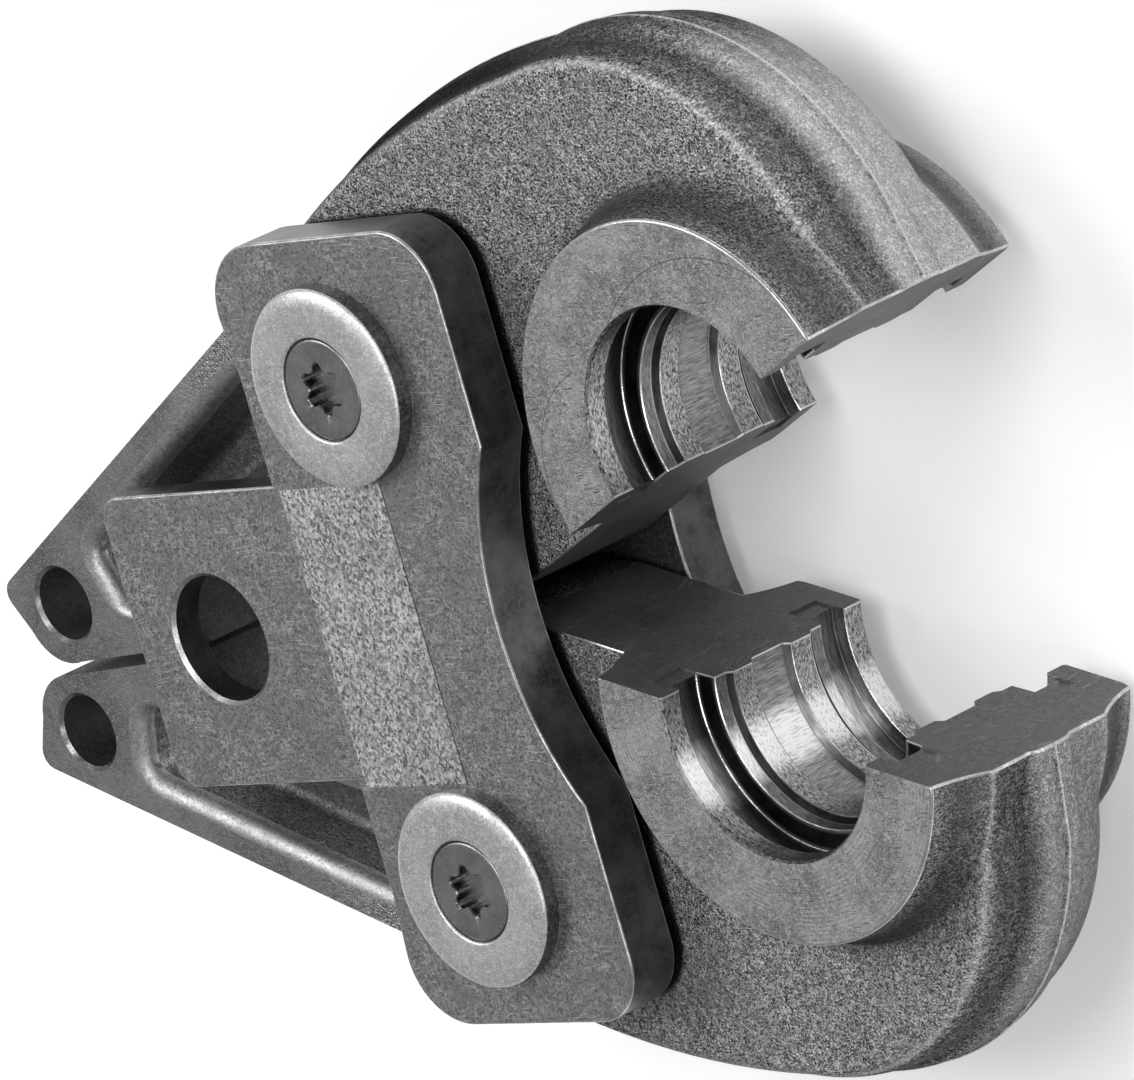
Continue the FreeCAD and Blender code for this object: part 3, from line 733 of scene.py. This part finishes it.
def jawOutline(growth):
    # the shut upper jaw's outline; growth is how far its back stands out
    armGrowth = growth * jaw["armGrowth"]
    holeX, holeY = jaw["armHole"]
    drop = radians(jaw["innerAngle"])
    endRadius = jaw["armEndRadius"]
    low = endRadius - jaw["armEndSetBack"]
    middleAngle = radians(180 + (90 - jaw["innerAngle"]) / 2)
    endBottom = (holeX - sin(drop) * low, holeY - cos(drop) * low)
    endMiddle = (holeX + endRadius * cos(middleAngle), holeY + endRadius * sin(middleAngle))
    endSide = (holeX - endRadius, holeY)
    steps = jaw["steps"]
    points = arcThrough(endBottom, endMiddle, endSide, steps["armEnd"])
    corner = Vector(jaw["armRear"])
    front = Vector((jaw["armFront"][0], jaw["armFront"][1] + armGrowth))
    toSide = (Vector(endSide) - corner).normalized() * jaw["armCorner"]
    toFront = (front - corner).normalized() * jaw["armCorner"]
    middle = corner + (toSide + toFront) * jaw["cornerBulge"]
    points += arcThrough(tuple(corner + toSide), tuple(middle), tuple(corner + toFront), steps["armCorner"])
    rest = front - corner - toFront
    points += [tuple(corner + toFront + rest * share) for share in (0.25, 0.5, 0.75, 1)]
    crownX = jaw["crownX"] + jaw["crownShiftX"] * growth
    crownY = jaw["crownY"] + jaw["crownShiftY"] * growth
    radius = jaw["crownRadius"] + growth
    crownStart = arcPoints(crownX, crownY, radius, jaw["crownStart"], 0, 1)[0]
    neck = (jaw["neck"][0], jaw["neck"][1] + growth * jaw["neckGrowth"])
    back = (jaw["back"][0], jaw["back"][1] + growth)
    points += arcThrough(neck, back, crownStart, steps["back"])
    points += arcPoints(crownX, crownY, radius, jaw["crownStart"], 0, steps["crown"])[1:]
    tipX = crownX + radius + jaw["tipLean"] - jaw["tipLeanBack"] * growth
    below = matingY - jaw["spare"]
    tipRun = crownY - matingY
    for share in (0.3, 0.6, 1.0):
        points.append((crownX + radius + (tipX - crownX - radius) * share, crownY - tipRun * share))
    rearX = jaw["matingRearX"]
    return points + [(tipX, below), (rearX, below), (rearX, matingY), (jaw["heelX"], jaw["heelY"])]


def smoothLevels(levels, steps):
    # a soft curve through (height, growth) pairs
    result = []
    for index in range(len(levels) - 1):
        before = levels[max(index - 1, 0)]
        here = levels[index]
        there = levels[index + 1]
        beyond = levels[min(index + 2, len(levels) - 1)]
        for step in range(steps):
            t = step / steps
            row = []
            for a, b, c, d in zip(before, here, there, beyond):
                row.append(0.5 * (2 * b + (c - a) * t + (2 * a - 5 * b + 4 * c - d) * t * t
                                  + (3 * b - a - 3 * c + d) * t ** 3))
            result.append(tuple(row))
    return result + [levels[-1]]


def forging(bm):
    levels = jaw["flank"]
    half = levels[:jaw["sharpLevels"]] + smoothLevels(levels[jaw["sharpLevels"]:], 2)
    half.append((jaw["halfThickness"], half[-1][1] - jaw["lastStep"]))
    rings = [(jawOutline(growth), -height) for height, growth in reversed(half[1:])]
    rings += [(jawOutline(growth), height) for height, growth in half]
    loftRings(bm, rings)


def hubProfile(bm):
    top = hub["halfThickness"]
    rim = roundedRim(hub["radius"], top, hub["edge"], hub["edge"], 3)
    waist = (hub["radius"] + hub["coveWaist"], (top + jaw["sideZ"]) / 2)
    foot = (hub["radius"] + hub["coveFoot"], jaw["sideZ"] - hub["footSink"])
    upper = [(0, top)] + rim[:0:-1] + arcThrough(rim[0], waist, foot, 12)
    turnProfile(bm, mirroredDown(upper), (hub["x"], matingY), turnSteps["hub"])


def softStep(profile, edge, longest):
    # bevels each inner corner of a (radius, height) profile; longest is the largest share of a side
    result = [profile[0]]
    for before, here, after in zip(profile, profile[1:], profile[2:]):
        for other in (before, after):
            run = hypot(other[0] - here[0], other[1] - here[1])
            share = min(edge / run, longest) if run else 0
            result.append((here[0] + (other[0] - here[0]) * share, here[1] + (other[1] - here[1]) * share))
    return result + [profile[-1]]


def contourProfile(bm):
    top = hub["halfThickness"]
    mouth = contour["mouthRadius"]
    chamfer = contour["mouthChamfer"]
    wide = mouth + chamfer
    profile = [(wide, top + past), (wide, top), (mouth, top - chamfer)] + contour["steps"]
    whole = softStep(mirroredDown(profile), contour["edge"], contour["longestEdge"])
    turnProfile(bm, [(0, top + past)] + whole + [(0, -top - past)], (hub["x"], 0), turnSteps["hub"])


def openBoltPlace():
    # where the tool bolt stands in the shut jaw's frame when the jaw is fully open
    angle = radians(-upperOpening)
    x = pivotX - pivotX * cos(angle) + pivotY * sin(angle)
    y = pivotY - pivotX * sin(angle) - pivotY * cos(angle)
    return x, y


def boltChannel(bm):
    boltX, boltY = openBoltPlace()
    away = degrees(atan2(boltY, boltX))
    reach = jaw["boltReach"]
    steps = jaw["steps"]["notch"]
    points = arcPoints(0, 0, reach, away + 90, away + 270, steps)
    points += arcPoints(boltX, boltY, reach, away - 90, away + 90, steps)
    half = jaw["halfThickness"] + past
    cutPrism(bm, points, -half, half)


def pocketRings(side):
    rearX, rearY = jaw["armRear"]
    slope = (jaw["armFront"][1] - rearY) / (jaw["armFront"][0] - rearX)
    fall = tan(radians(jaw["innerAngle"]))
    boltX, boltY = openBoltPlace()
    draft = pocket["draft"]
    rimRadius = pocket["rimRadius"]
    floorRadius = pocket["floorRadius"]
    top = jaw["halfThickness"]

    def outline(shrink, radius):
        def outer(x):
            return rearY + slope * (x - rearX) - pocket["outerWall"] - shrink

        rear = pocket["rearX"] + shrink
        front = pocket["frontX"] - shrink
        reliefY = boltY + jaw["boltReach"] + pocket["endWall"] + shrink
        inner = jaw["heelY"] + (jaw["heelX"] - rear) * fall + pocket["innerWall"] + shrink
        corners = [(rear, outer(rear)), (front, outer(front)), (front, reliefY), (boltX, reliefY),
                   (rear, inner)]
        return roundedPoints([(x, y, radius) for x, y in corners], 6)

    rings = [(outline(-rimRadius, pocket["corner"] + rimRadius), top + pocket["rimRise"])]
    for angle in (0, 22, 45, 68, 90):
        inset = rimRadius * (sin(radians(angle)) - 1)
        rings.append((outline(inset, pocket["corner"] - inset), top - rimRadius * (1 - cos(radians(angle)))))
    for angle in (0, 30, 60, 90):
        inset = floorRadius * (1 - cos(radians(angle)))
        height = pocket["floorZ"] + floorRadius * (1 - sin(radians(angle)))
        rings.append((outline(draft + inset, pocket["corner"] - inset * pocket["floorCorner"]), height))
    return [(points, side * height) for points, height in rings]


def paintHubFaces(mesh):
    # the turned hub faces, the rubbed rounding round them and the rims of the pockets
    slack = 0.05
    for face in mesh.polygons:
        height = abs(face.center.z) + slack
        upright = abs(face.normal.z)
        away = hypot(face.center.x - hub["x"], face.center.y - matingY) + 2 * slack
        onRounding = height > hub["halfThickness"] - hub["edge"]
        inPocket = face.material_index == paints["pocket"] and face.center.x < pocket["frontX"]
        if height > hub["halfThickness"] and upright > flatFace:
            face.material_index = paints["hubFace"]
        elif onRounding and away > hub["radius"] - hub["edge"]:
            face.material_index = paints["worn"]
        elif inPocket and height > pocket["rimZ"] + slack and upright > pocket["rimTilt"]:
            face.material_index = paints["rim"]


def softenMatingEdges(mesh):
    # the outer edges of the ground mating face are rounded and rubbed bright, its contour edges stay keen
    bm = bmesh.new()
    bm.from_mesh(mesh)
    bmesh.ops.dissolve_degenerate(bm, dist=0.01, edges=bm.edges)

    def matingEdges():
        faces = [face for face in bm.faces
                 if face.normal.y < -flatFace and abs(face.calc_center_median().y - matingY) < 0.01]
        return {edge for face in faces for edge in face.edges}

    bmesh.ops.dissolve_limit(bm, angle_limit=radians(1), verts=[], edges=list(matingEdges()))
    rim = []
    for edge in matingEdges():
        sides = [face for face in edge.link_faces if face.normal.y > -flatFace]
        outer = len(sides) == 1 and sides[0].material_index in (paints["forged"], paints["worn"])
        inFront = edge.verts[0].co.x + edge.verts[1].co.x > 2 * jaw["matingRearX"] + 1
        if len(edge.link_faces) == 2 and outer and inFront and edge.calc_face_angle() > matingTurn:
            rim.append(edge)
    bevelEdges(bm, rim, jaw["matingEdge"], False, paints["worn"])
    bm.to_mesh(mesh)
    bm.free()


def shutJaw():
    reachX, reachY, reachZ = jaw["cutReach"]
    body = solid(forging)
    for low, high in ((jaw["sideZ"], reachZ), (-reachZ, -jaw["sideZ"])):
        cut(body, box, (jaw["armFrontX"], -reachY, low), (reachX, reachY, high))
    combine(body, "UNION", hubProfile)
    low = (jaw["matingRearX"] - reachZ, -reachY, -reachZ)
    cut(body, box, low, (reachX, matingY, reachZ), paint=paints["ground"])
    cut(body, contourProfile, paint=paints["contour"])
    # shallow reliefs in the mating face beside the bead groove
    top = contour["steps"][1][1]
    bottom = contour["steps"][2][1]
    for first, last in ((bottom, top), (-top, -bottom)):
        for side in (-1, 1):
            near = hub["x"] + side * (contour["reliefReach"] - contour["reliefLength"])
            rear, front = sorted((near, hub["x"] + side * contour["reliefReach"]))
            cut(body, box, (rear, -past, first), (front, contour["reliefDepth"], last),
                paint=paints["ground"])
    # the bolt channel takes the lighter rim finish, as painted light in its shaded hollow
    cut(body, boltChannel, paint=paints["rim"])
    for side in (1, -1):
        cut(body, loftRings, pocketRings(side), paint=paints["pocket"])
    cut(body, boreProfile, jaw["armHole"], jaw["armHoleRadius"], jaw["halfThickness"],
        jaw["armHoleChamfer"], paint=paints["bore"])
    cut(body, boreProfile, (pivotX, pivotY), jaw["pinRadius"], jaw["sideZ"], jaw["pinChamfer"],
        paint=paints["bore"])
    mesh = takeMesh(body)
    paintHubFaces(mesh)
    softenMatingEdges(mesh)
    return mesh


def turnedAbout(centre, angle):
    there = Matrix.Translation((centre[0], centre[1], 0))
    return there @ Matrix.Rotation(radians(angle), 4, "Z") @ there.inverted()


jawPlaces = {
    "upper": turnedAbout((pivotX, pivotY), upperOpening),
    "lower": turnedAbout((pivotX, -pivotY), -lowerOpening) @ flipY,
}

steelLooks = {
    "forgedFlank": {"shades": (0.08, 1.0), "grain": 4700.0, "patch": 130.0, "patchShade": 0.3,
                    "patchShare": 0.35, "coarse": 0.4, "pits": 0.8, "rough": (0.33, 0.45), "bump": 1.0,
                    "depth": 0.24, "metallic": 0.95, "edgeTint": 0.12},
    "hubFace": {"shades": (0.24, 0.86), "grain": 4600.0, "patch": 190.0, "patchShade": 0.6, "pits": 0.5,
                "pitShade": 0.12, "rough": (0.34, 0.46), "bump": 0.6, "depth": 0.04, "scratch": 0.8,
                "scratchShade": 0.1, "pitch": 660.0, "waver": 0.5, "markShade": 0.85, "metallic": 0.92},
    "groundFace": {"shades": (0.09, 0.2), "patch": 150.0, "patchShade": 0.18, "patchShare": 0.6,
                   "pits": 0.35, "pitShade": 0.04, "rough": (0.34, 0.46), "bump": 0.5, "scratch": 0.35,
                   "scratchShade": 0.36, "metallic": 0.5, "edgeTint": 0.4},
    "contour": {"shades": (0.4, 0.6), "grain": 5600.0, "patch": 160.0, "patchShade": 0.4, "pits": 0.2,
                "rough": (0.24, 0.34), "bump": 0.35, "edgeTint": 0.5},
    "pocket": {"shades": (0.1, 0.3), "patch": 120.0, "patchShade": 0.12, "coarse": 0.6, "pits": 0.5,
               "rough": (0.4, 0.5), "bump": 0.8, "depth": 0.07, "metallic": 0.85},
    "bore": {"shades": (0.16, 0.3), "grain": 3500.0, "patch": 100.0, "patchShade": 0.3,
             "rough": (0.25, 0.4), "metallic": 0.85},
    "worn": {"shades": (0.5, 0.95), "grain": 4000.0, "patch": 260.0, "patchShade": 0.4,
             "patchShare": 0.8, "pits": 0.15, "rough": (0.26, 0.38), "depth": 0.02},
    # the rim finish is lighter than the pocket's; where it lines the bolt channel it is painted light
    "rim": {"shades": (0.3, 0.56), "patch": 200.0, "patchShade": 0.4, "rough": (0.42, 0.52),
            "bump": 0.4, "depth": 0.04, "metallic": 0.95},
}

# where each contour carries a painted reflection, as angles from the mating face's front end
reflectionAngles = {"upper": (40, 40), "lower": (40, 140)}

# painted shade along one stretch of each head (from X, to X and its share at both), and how much painted
# highlight lightens the tip
skinTones = {
    "upper": {"tone": (54.0, 90.0, 0.92, 0.0), "tipShare": 0.75},
    "lower": {"tone": (66.0, 100.0, 0.1, 0.3), "tipShare": 0.35},
}

# how much the turning marks show on each hub; the upper one has two lightly scribed arcs
hubTones = {
    "upper": {"markTint": 0.06, "markShare": 0.12,
              "scribes": [{"centre": (70.46, 14.77), "radius": 11.71, "facing": (-0.9, 0.44)},
                          {"centre": (87.49, 19.05), "radius": 17.62, "facing": (-0.08, 1.0)}]},
    "lower": {"markTint": 0.3, "markShare": 0.7},
}


def makeJaws():
    shut = shutJaw()
    print("jaw modelled,", len(shut.polygons), "faces")
    for side, place in jawPlaces.items():
        turn = place.to_3x3()
        axis = tuple(place @ Vector((hub["x"], 0, 0)) * mm)
        firstReflection, secondReflection = (tuple(turn @ Vector((cos(radians(angle)), sin(radians(angle)), 0)))
                               for angle in reflectionAngles[side])
        toneFrom, toneTo, toneStart, toneEnd = skinTones[side]["tone"]
        extras = {
            "forgedFlank": {"skin": {"Axis": axis, "Tone_From": toneFrom * mm, "Tone_To": toneTo * mm,
                                     "Tone_Start": toneStart, "Tone_End": toneEnd,
                                     "Tip_Share": skinTones[side]["tipShare"]}},
            "hubFace": hubTones[side],
            "contour": {"bands": {"Axis": axis, "Mating": tuple(turn @ Vector((0, -1, 0))),
                                  "First_Rub": firstReflection, "Second_Rub": secondReflection}},
        }
        materials = [steelMaterial(name + side.capitalize(), {**look, **extras.get(name, {})}, axis)
                     for name, look in steelLooks.items()]
        finishPiece(side + "Jaw", placedCopy(shut, place), materials, side + "_jaw",
                    side + "_jaw")


makeJaws()


# Side plates

plateLooks = {
    "face": {"shades": (0.24, 0.78), "grain": 4300.0, "patch": 150.0, "patchShade": 0.24,
             "patchShare": 0.75, "pits": 0.6, "pitShade": 0.06, "rough": (0.36, 0.5), "bump": 0.6,
             "scratch": 0.45, "scratchShade": 0.8, "metallic": 0.9,
             "field": {"x": (19.2, 35.0), "halfY": 16.4, "z": 16.4, "soft": 0.06, "grain": 4200.0,
                       "patch": 520.0, "coarse": 0.45, "shades": (0.16, 1.0), "wearAndHighlight": 0.4,
                       "rubbedSpan": (0.45, 0.62), "rubbedShare": 0.3, "bumpShare": 1.1, "line": 0.16,
                       "lineSoft": 0.03, "lineShade": 0.07}},
    "side": {"shades": (0.05, 0.12), "grain": 4300.0, "patch": 230.0, "patchShade": 0.17,
             "patchShare": 0.8, "pits": 0.1, "rough": (0.3, 0.42), "depth": 0.02, "metallic": 0.8},
    "edge": {"shades": (0.5, 0.8), "grain": 3500.0, "patch": 300.0, "patchShade": 0.25,
             "patchShare": 0.8, "pits": 0.1, "rough": (0.3, 0.4), "depth": 0.02},
}


def plateOutline():
    rearX = plate["rearX"]
    frontX = plate["frontX"]
    half = plate["halfHeight"]
    ear = rearX - plate["earFlare"]
    earLow = half - plate["rearCorner"]
    waist = earLow - plate["earRun"]
    swing = degrees(atan2(plate["scoopHalf"], scoopRadius - plate["scoopDepth"]))
    rounded = roundedPoints([(ear, -half, plate["rearCorner"]), (frontX, -half, plate["frontCorner"]),
                             (frontX, half, plate["frontCorner"]), (ear, half, plate["rearCorner"])], 12)
    count = len(rounded) // 4
    points = [(rearX, -waist), (ear, -earLow)] + rounded[1:2 * count]
    points += arcPoints(scoopX, 0, scoopRadius, 180 + swing, 180 - swing, 40)
    return points + rounded[2 * count:-1] + [(ear, earLow), (rearX, waist)]


def tongueOutline():
    rear = plate["tongueRearX"]
    half = plate["tongueHalf"]
    root = plate["rearX"] + plate["tongueRoot"]
    corner = plate["tongueCorner"]
    keen = plate["rootCorner"]
    return roundedPoints([(rear, half, corner), (rear, -half, corner), (root, -half, keen),
                          (root, half, keen)], 10)


def boltBore(bm):
    radius = plate["boltRadius"]
    chamfer = plate["boltChamfer"]
    wide = radius + chamfer
    inner = plate["innerZ"]
    above, below = tongueTop + 2 * past, inner - 2 * past
    profile = [(0, above), (wide, above), (wide, tongueTop), (radius, tongueTop - chamfer),
               (radius, inner + chamfer), (wide, inner), (wide, below), (0, below)]
    turnProfile(bm, profile, (0, 0), turnSteps["boltBore"])


def softenPlate(mesh):
    # rounds the level outer edges, but not those of the pin seats, the bolt bore and the tongue's root
    bm = bmesh.new()
    bm.from_mesh(mesh)
    bmesh.ops.remove_doubles(bm, verts=bm.verts, dist=0.005)
    bmesh.ops.dissolve_limit(bm, angle_limit=radians(0.5), verts=bm.verts, edges=bm.edges)

    def wanted(edge):
        if len(edge.link_faces) != 2 or edge.calc_face_angle() < plateTurn:
            return False
        first, last = (vert.co for vert in edge.verts)
        middle = (first + last) / 2
        pins = min(hypot(middle.x - pivotX, middle.y - side * pivotY) for side in (1, -1))
        root = abs(first.z - tongueTop) < 0.01 and middle.x > plate["rearX"] - 0.01
        clear = pins > plate["pinSeat"] + 0.98 and middle.xy.length > plate["boltRadius"] + 1
        return abs(last.z - first.z) <= 0.001 and clear and not root

    rim = [edge for edge in bm.edges if wanted(edge)]
    bevelEdges(bm, rim, plate["edge"], True)
    for face in bm.faces:
        upright = abs(face.normal.z)
        face.material_index = 0 if upright > 0.98 else 2 if upright > 0.06 else 1
    bm.to_mesh(mesh)
    bm.free()


def makePlates():
    body = solid(cutPrism, plateOutline(), plate["innerZ"], plateTop)
    combine(body, "UNION", cutPrism, tongueOutline(), plate["innerZ"], tongueTop)
    cut(body, boltBore)
    for side in (1, -1):
        cut(body, boreProfile, (pivotX, side * pivotY), plate["pinSeat"], plate["seatReach"], 0)
    front = takeMesh(body)
    softenPlate(front)
    print("plate modelled,", len(front.polygons), "faces")
    finishes = [steelMaterial("plate" + name.capitalize(), look) for name, look in plateLooks.items()]
    for name, mesh in (("front", front), ("rear", placedCopy(front, flipZ))):
        finishPiece(name + "Plate", mesh, finishes, "frame", name + "_plate")


makePlates()


# Pivot discs, their screws and the pins

disc = {"radius": 10.8, "height": 2.5, "rounding": 2.1, "drop": 0.85, "hole": 0.28, "foot": 0.1}
screw = {"head": 5.45, "sink": 0.25, "rim": 0.35, "gap": 0.16, "edge": 0.3, "thread": 3.0, "length": 12.0,
         "point": 0.6, "lobe": 0.62, "lobeCircle": 2.2, "flute": 0.82, "socketDepth": 1.7, "turn": 28,
         "lip": 0.16}
discTop = plateTop + disc["height"]
screwTop = discTop - screw["sink"]

fastenerLooks = {
    "disc": {"shades": (0.46, 1.0), "grain": 4600.0, "patch": 220.0, "patchShade": 0.68, "pits": 0.25,
             "pitShade": 0.3, "rough": (0.34, 0.44), "bump": 0.5, "depth": 0.02, "pitch": 1400.0,
             "waver": 1.0, "markShare": 0.3, "markTint": 0.1, "markShade": 0.6, "metallic": 0.8},
    "discSide": {"shades": (0.04, 0.26), "patch": 260.0, "patchShade": 0.2, "pits": 0.4,
                 "rough": (0.34, 0.44), "bump": 0.6, "depth": 0.05, "metallic": 0.9},
    "screw": {"shades": (0.22, 0.33), "grain": 4500.0, "patch": 300.0, "patchShade": 0.36,
              "patchShare": 0.7, "pits": 0.1, "rough": (0.3, 0.38), "depth": 0.02, "metallic": 0.92},
    "socket": {"shades": (0.12, 0.34), "grain": 4500.0, "patch": 400.0, "patchShade": 0.2,
               "rough": (0.22, 0.3), "bump": 0.2, "depth": 0.02},
}


def discProfile(bm):
    foot = disc["foot"]
    seat = screw["head"] + screw["gap"]
    coneTop = screwTop - screw["rim"]
    profile = [(disc["radius"] - foot, plateTop), (disc["radius"], plateTop + foot)]
    profile += roundedRim(disc["radius"], discTop, disc["rounding"], disc["drop"], 8)
    profile += [(seat + disc["hole"], discTop), (seat, discTop - disc["hole"]), (seat, coneTop),
                (seat - (coneTop - plateTop), plateTop)]
    turnProfile(bm, profile, (pivotX, pivotY), turnSteps["disc"], closed=True)


def screwProfile(bm):
    thread = screw["thread"]
    cone = screwTop - screw["rim"]
    end = screwTop - screw["length"]
    profile = [(0, end), (thread - screw["point"], end), (thread, end + screw["point"]),
               (thread, cone - (screw["head"] - thread)), (screw["head"], cone)]
    profile += roundedRim(screw["head"], screwTop, screw["edge"], screw["edge"], 5)
    turnProfile(bm, profile + [(0, screwTop)], (pivotX, pivotY), turnSteps["screw"])


def socketPocket(bm):
    # a six-lobed socket: lobes and flutes are arcs that meet in a common tangent
    lobe = screw["lobe"]
    flute = screw["flute"]
    circle = screw["lobeCircle"]
    across = circle * cos(radians(30))
    fluteCircle = across + ((lobe + flute) ** 2 - circle ** 2 + across ** 2) ** 0.5
    touch = degrees(atan2(fluteCircle * 0.5, fluteCircle * cos(radians(30)) - circle))
    points = []
    for step in range(6):
        turn = screw["turn"] + 60 * step
        lobeX = pivotX + circle * cos(radians(turn))
        lobeY = pivotY + circle * sin(radians(turn))
        points += arcPoints(lobeX, lobeY, lobe, turn - touch, turn + touch, 8)[:-1]
        fluteX = pivotX + fluteCircle * cos(radians(turn + 30))
        fluteY = pivotY + fluteCircle * sin(radians(turn + 30))
        points += arcPoints(fluteX, fluteY, flute, turn + touch + 180, turn - touch + 240, 8)[:-1]
    middle = Vector((pivotX, pivotY))
    lip = screw["lip"]
    wide = [tuple(middle + (Vector(point) - middle) * (1 + lip / circle)) for point in points]
    loftRings(bm, [(points, screwTop - screw["socketDepth"]), (points, screwTop - lip), (wide, screwTop),
                   (wide, screwTop + 1)])


def makeFasteners():
    discMesh = takeMesh(solid(discProfile))
    for face in discMesh.polygons:
        face.material_index = int(abs(face.normal.z) < 0.5)
    body = solid(screwProfile)
    cut(body, socketPocket, paint=1)
    screwMesh = takeMesh(body)
    for face in screwMesh.polygons:
        if face.material_index == 1 and abs(face.normal.z) > 0.9:
            face.material_index = 0
    screwSteels = [steelMaterial(name + "Steel", fastenerLooks[name]) for name in ("screw", "socket")]
    discSide = steelMaterial("discSide", fastenerLooks["discSide"])
    for half, lower in (("upper", Matrix.Identity(4)), ("lower", flipY)):
        axis = (pivotX * mm, (pivotY if half == "upper" else -pivotY) * mm)
        discSteels = [steelMaterial(half + "DiscSteel", fastenerLooks["disc"], axis), discSide]
        for level, rear in (("front", Matrix.Identity(4)), ("rear", flipZ)):
            name = half + level.capitalize()
            node = half + "_" + level
            finishPiece(name + "Disc", placedCopy(discMesh, rear @ lower), discSteels, "frame",
                        node + "_pivot_disc", sharpAngle=50)
            finishPiece(name + "Screw", placedCopy(screwMesh, rear @ lower), screwSteels, "frame",
                        node + "_disc_screw", sharpAngle=40)
    pinSteel = steelMaterial("pinSteel", steelLooks["bore"])
    for half in ("upper", "lower"):
        frame["nodes"][half + "_pivot_pin"].material_slots[0].material = pinSteel


makeFasteners()
print("plates, discs and screws modelled")


# Floor, light and camera

studio = {"sky": 0.34, "floorSize": 6, "floorShade": 0.92, "floorRough": 0.9, "floorGlow": 0.22,
          "aim": (0.03, 0, 0)}
lamps = {
    "leftBox": {"place": (-0.55, 0.6, 0.85), "size": (0.7, 0.6), "power": 6},
    "topBox": {"place": (0.42, 0.4, 1.0), "size": (0.5, 0.5), "power": 4.5},
    "rightBox": {"place": (0.85, -0.32, 0.85), "size": (0.45, 0.45), "power": 2.5},
}
# the camera's directions to the right, down and forward, and its place in millimetres
camera = {
    "right": (0.666799, -0.273541, -0.693221), "down": (-0.044958, -0.943271, 0.328965),
    "forward": (-0.743881, -0.188187, -0.641270), "place": (880.74, 216.41, 723.33),
    "lens": 346.77, "sensor": 36, "reach": 20,
}


def makeFloor():
    bpy.ops.mesh.primitive_plane_add(size=studio["floorSize"], location=(0, 0, -discTop * mm))
    floor = bpy.context.object
    floor.name = "floor"
    material, tree, shader, vector = startMaterial("paleFloor")
    shader.inputs["Base Color"].default_value = (studio["floorShade"],) * 3 + (1,)
    shader.inputs["Roughness"].default_value = studio["floorRough"]
    shader.inputs["Specular IOR Level"].default_value = 0.0
    shader.inputs["Emission Color"].default_value = (1, 1, 1, 1)
    rays = addNode(tree, "LightPath").outputs
    seen = mathNode(tree, "MAXIMUM", rays["Is Camera Ray"], rays["Is Glossy Ray"])
    seen = mathNode(tree, "MAXIMUM", seen, rays["Is Transmission Ray"])
    tree.links.new(times(tree, seen, studio["floorGlow"]), shader.inputs["Emission Strength"])
    floor.data.materials.append(material)


def makeLights():
    world = bpy.data.worlds.new("studio")
    bpy.context.scene.world = world
    world.use_nodes = True
    background = world.node_tree.nodes["Background"]
    background.inputs["Color"].default_value = (1, 1, 1, 1)
    background.inputs["Strength"].default_value = studio["sky"]
    for name, lamp in lamps.items():
        data = bpy.data.lights.new(name, "AREA")
        data.shape = "RECTANGLE"
        data.size, data.size_y = lamp["size"]
        data.energy = lamp["power"]
        light = bpy.data.objects.new(name, data)
        light.location = lamp["place"]
        aim = Vector(studio["aim"]) - Vector(lamp["place"])
        light.rotation_euler = aim.to_track_quat("-Z", "Y").to_euler()
        bpy.context.scene.collection.objects.link(light)


def makeCamera():
    data = bpy.data.cameras.new("camera")
    data.sensor_width = camera["sensor"]
    data.lens = camera["lens"]
    data.clip_end = camera["reach"]
    viewer = bpy.data.objects.new("camera", data)
    bpy.context.scene.collection.objects.link(viewer)
    down, forward = Vector(camera["down"]), Vector(camera["forward"])
    turn = Matrix((camera["right"], -down, -forward)).transposed().to_4x4()
    turn.translation = Vector(camera["place"]) * mm
    viewer.matrix_world = turn
    bpy.context.scene.camera = viewer


makeFloor()
makeLights()
makeCamera()
bpy.context.scene.view_settings.view_transform = "Standard"

bpy.context.view_layer.update()
print("scene finished")
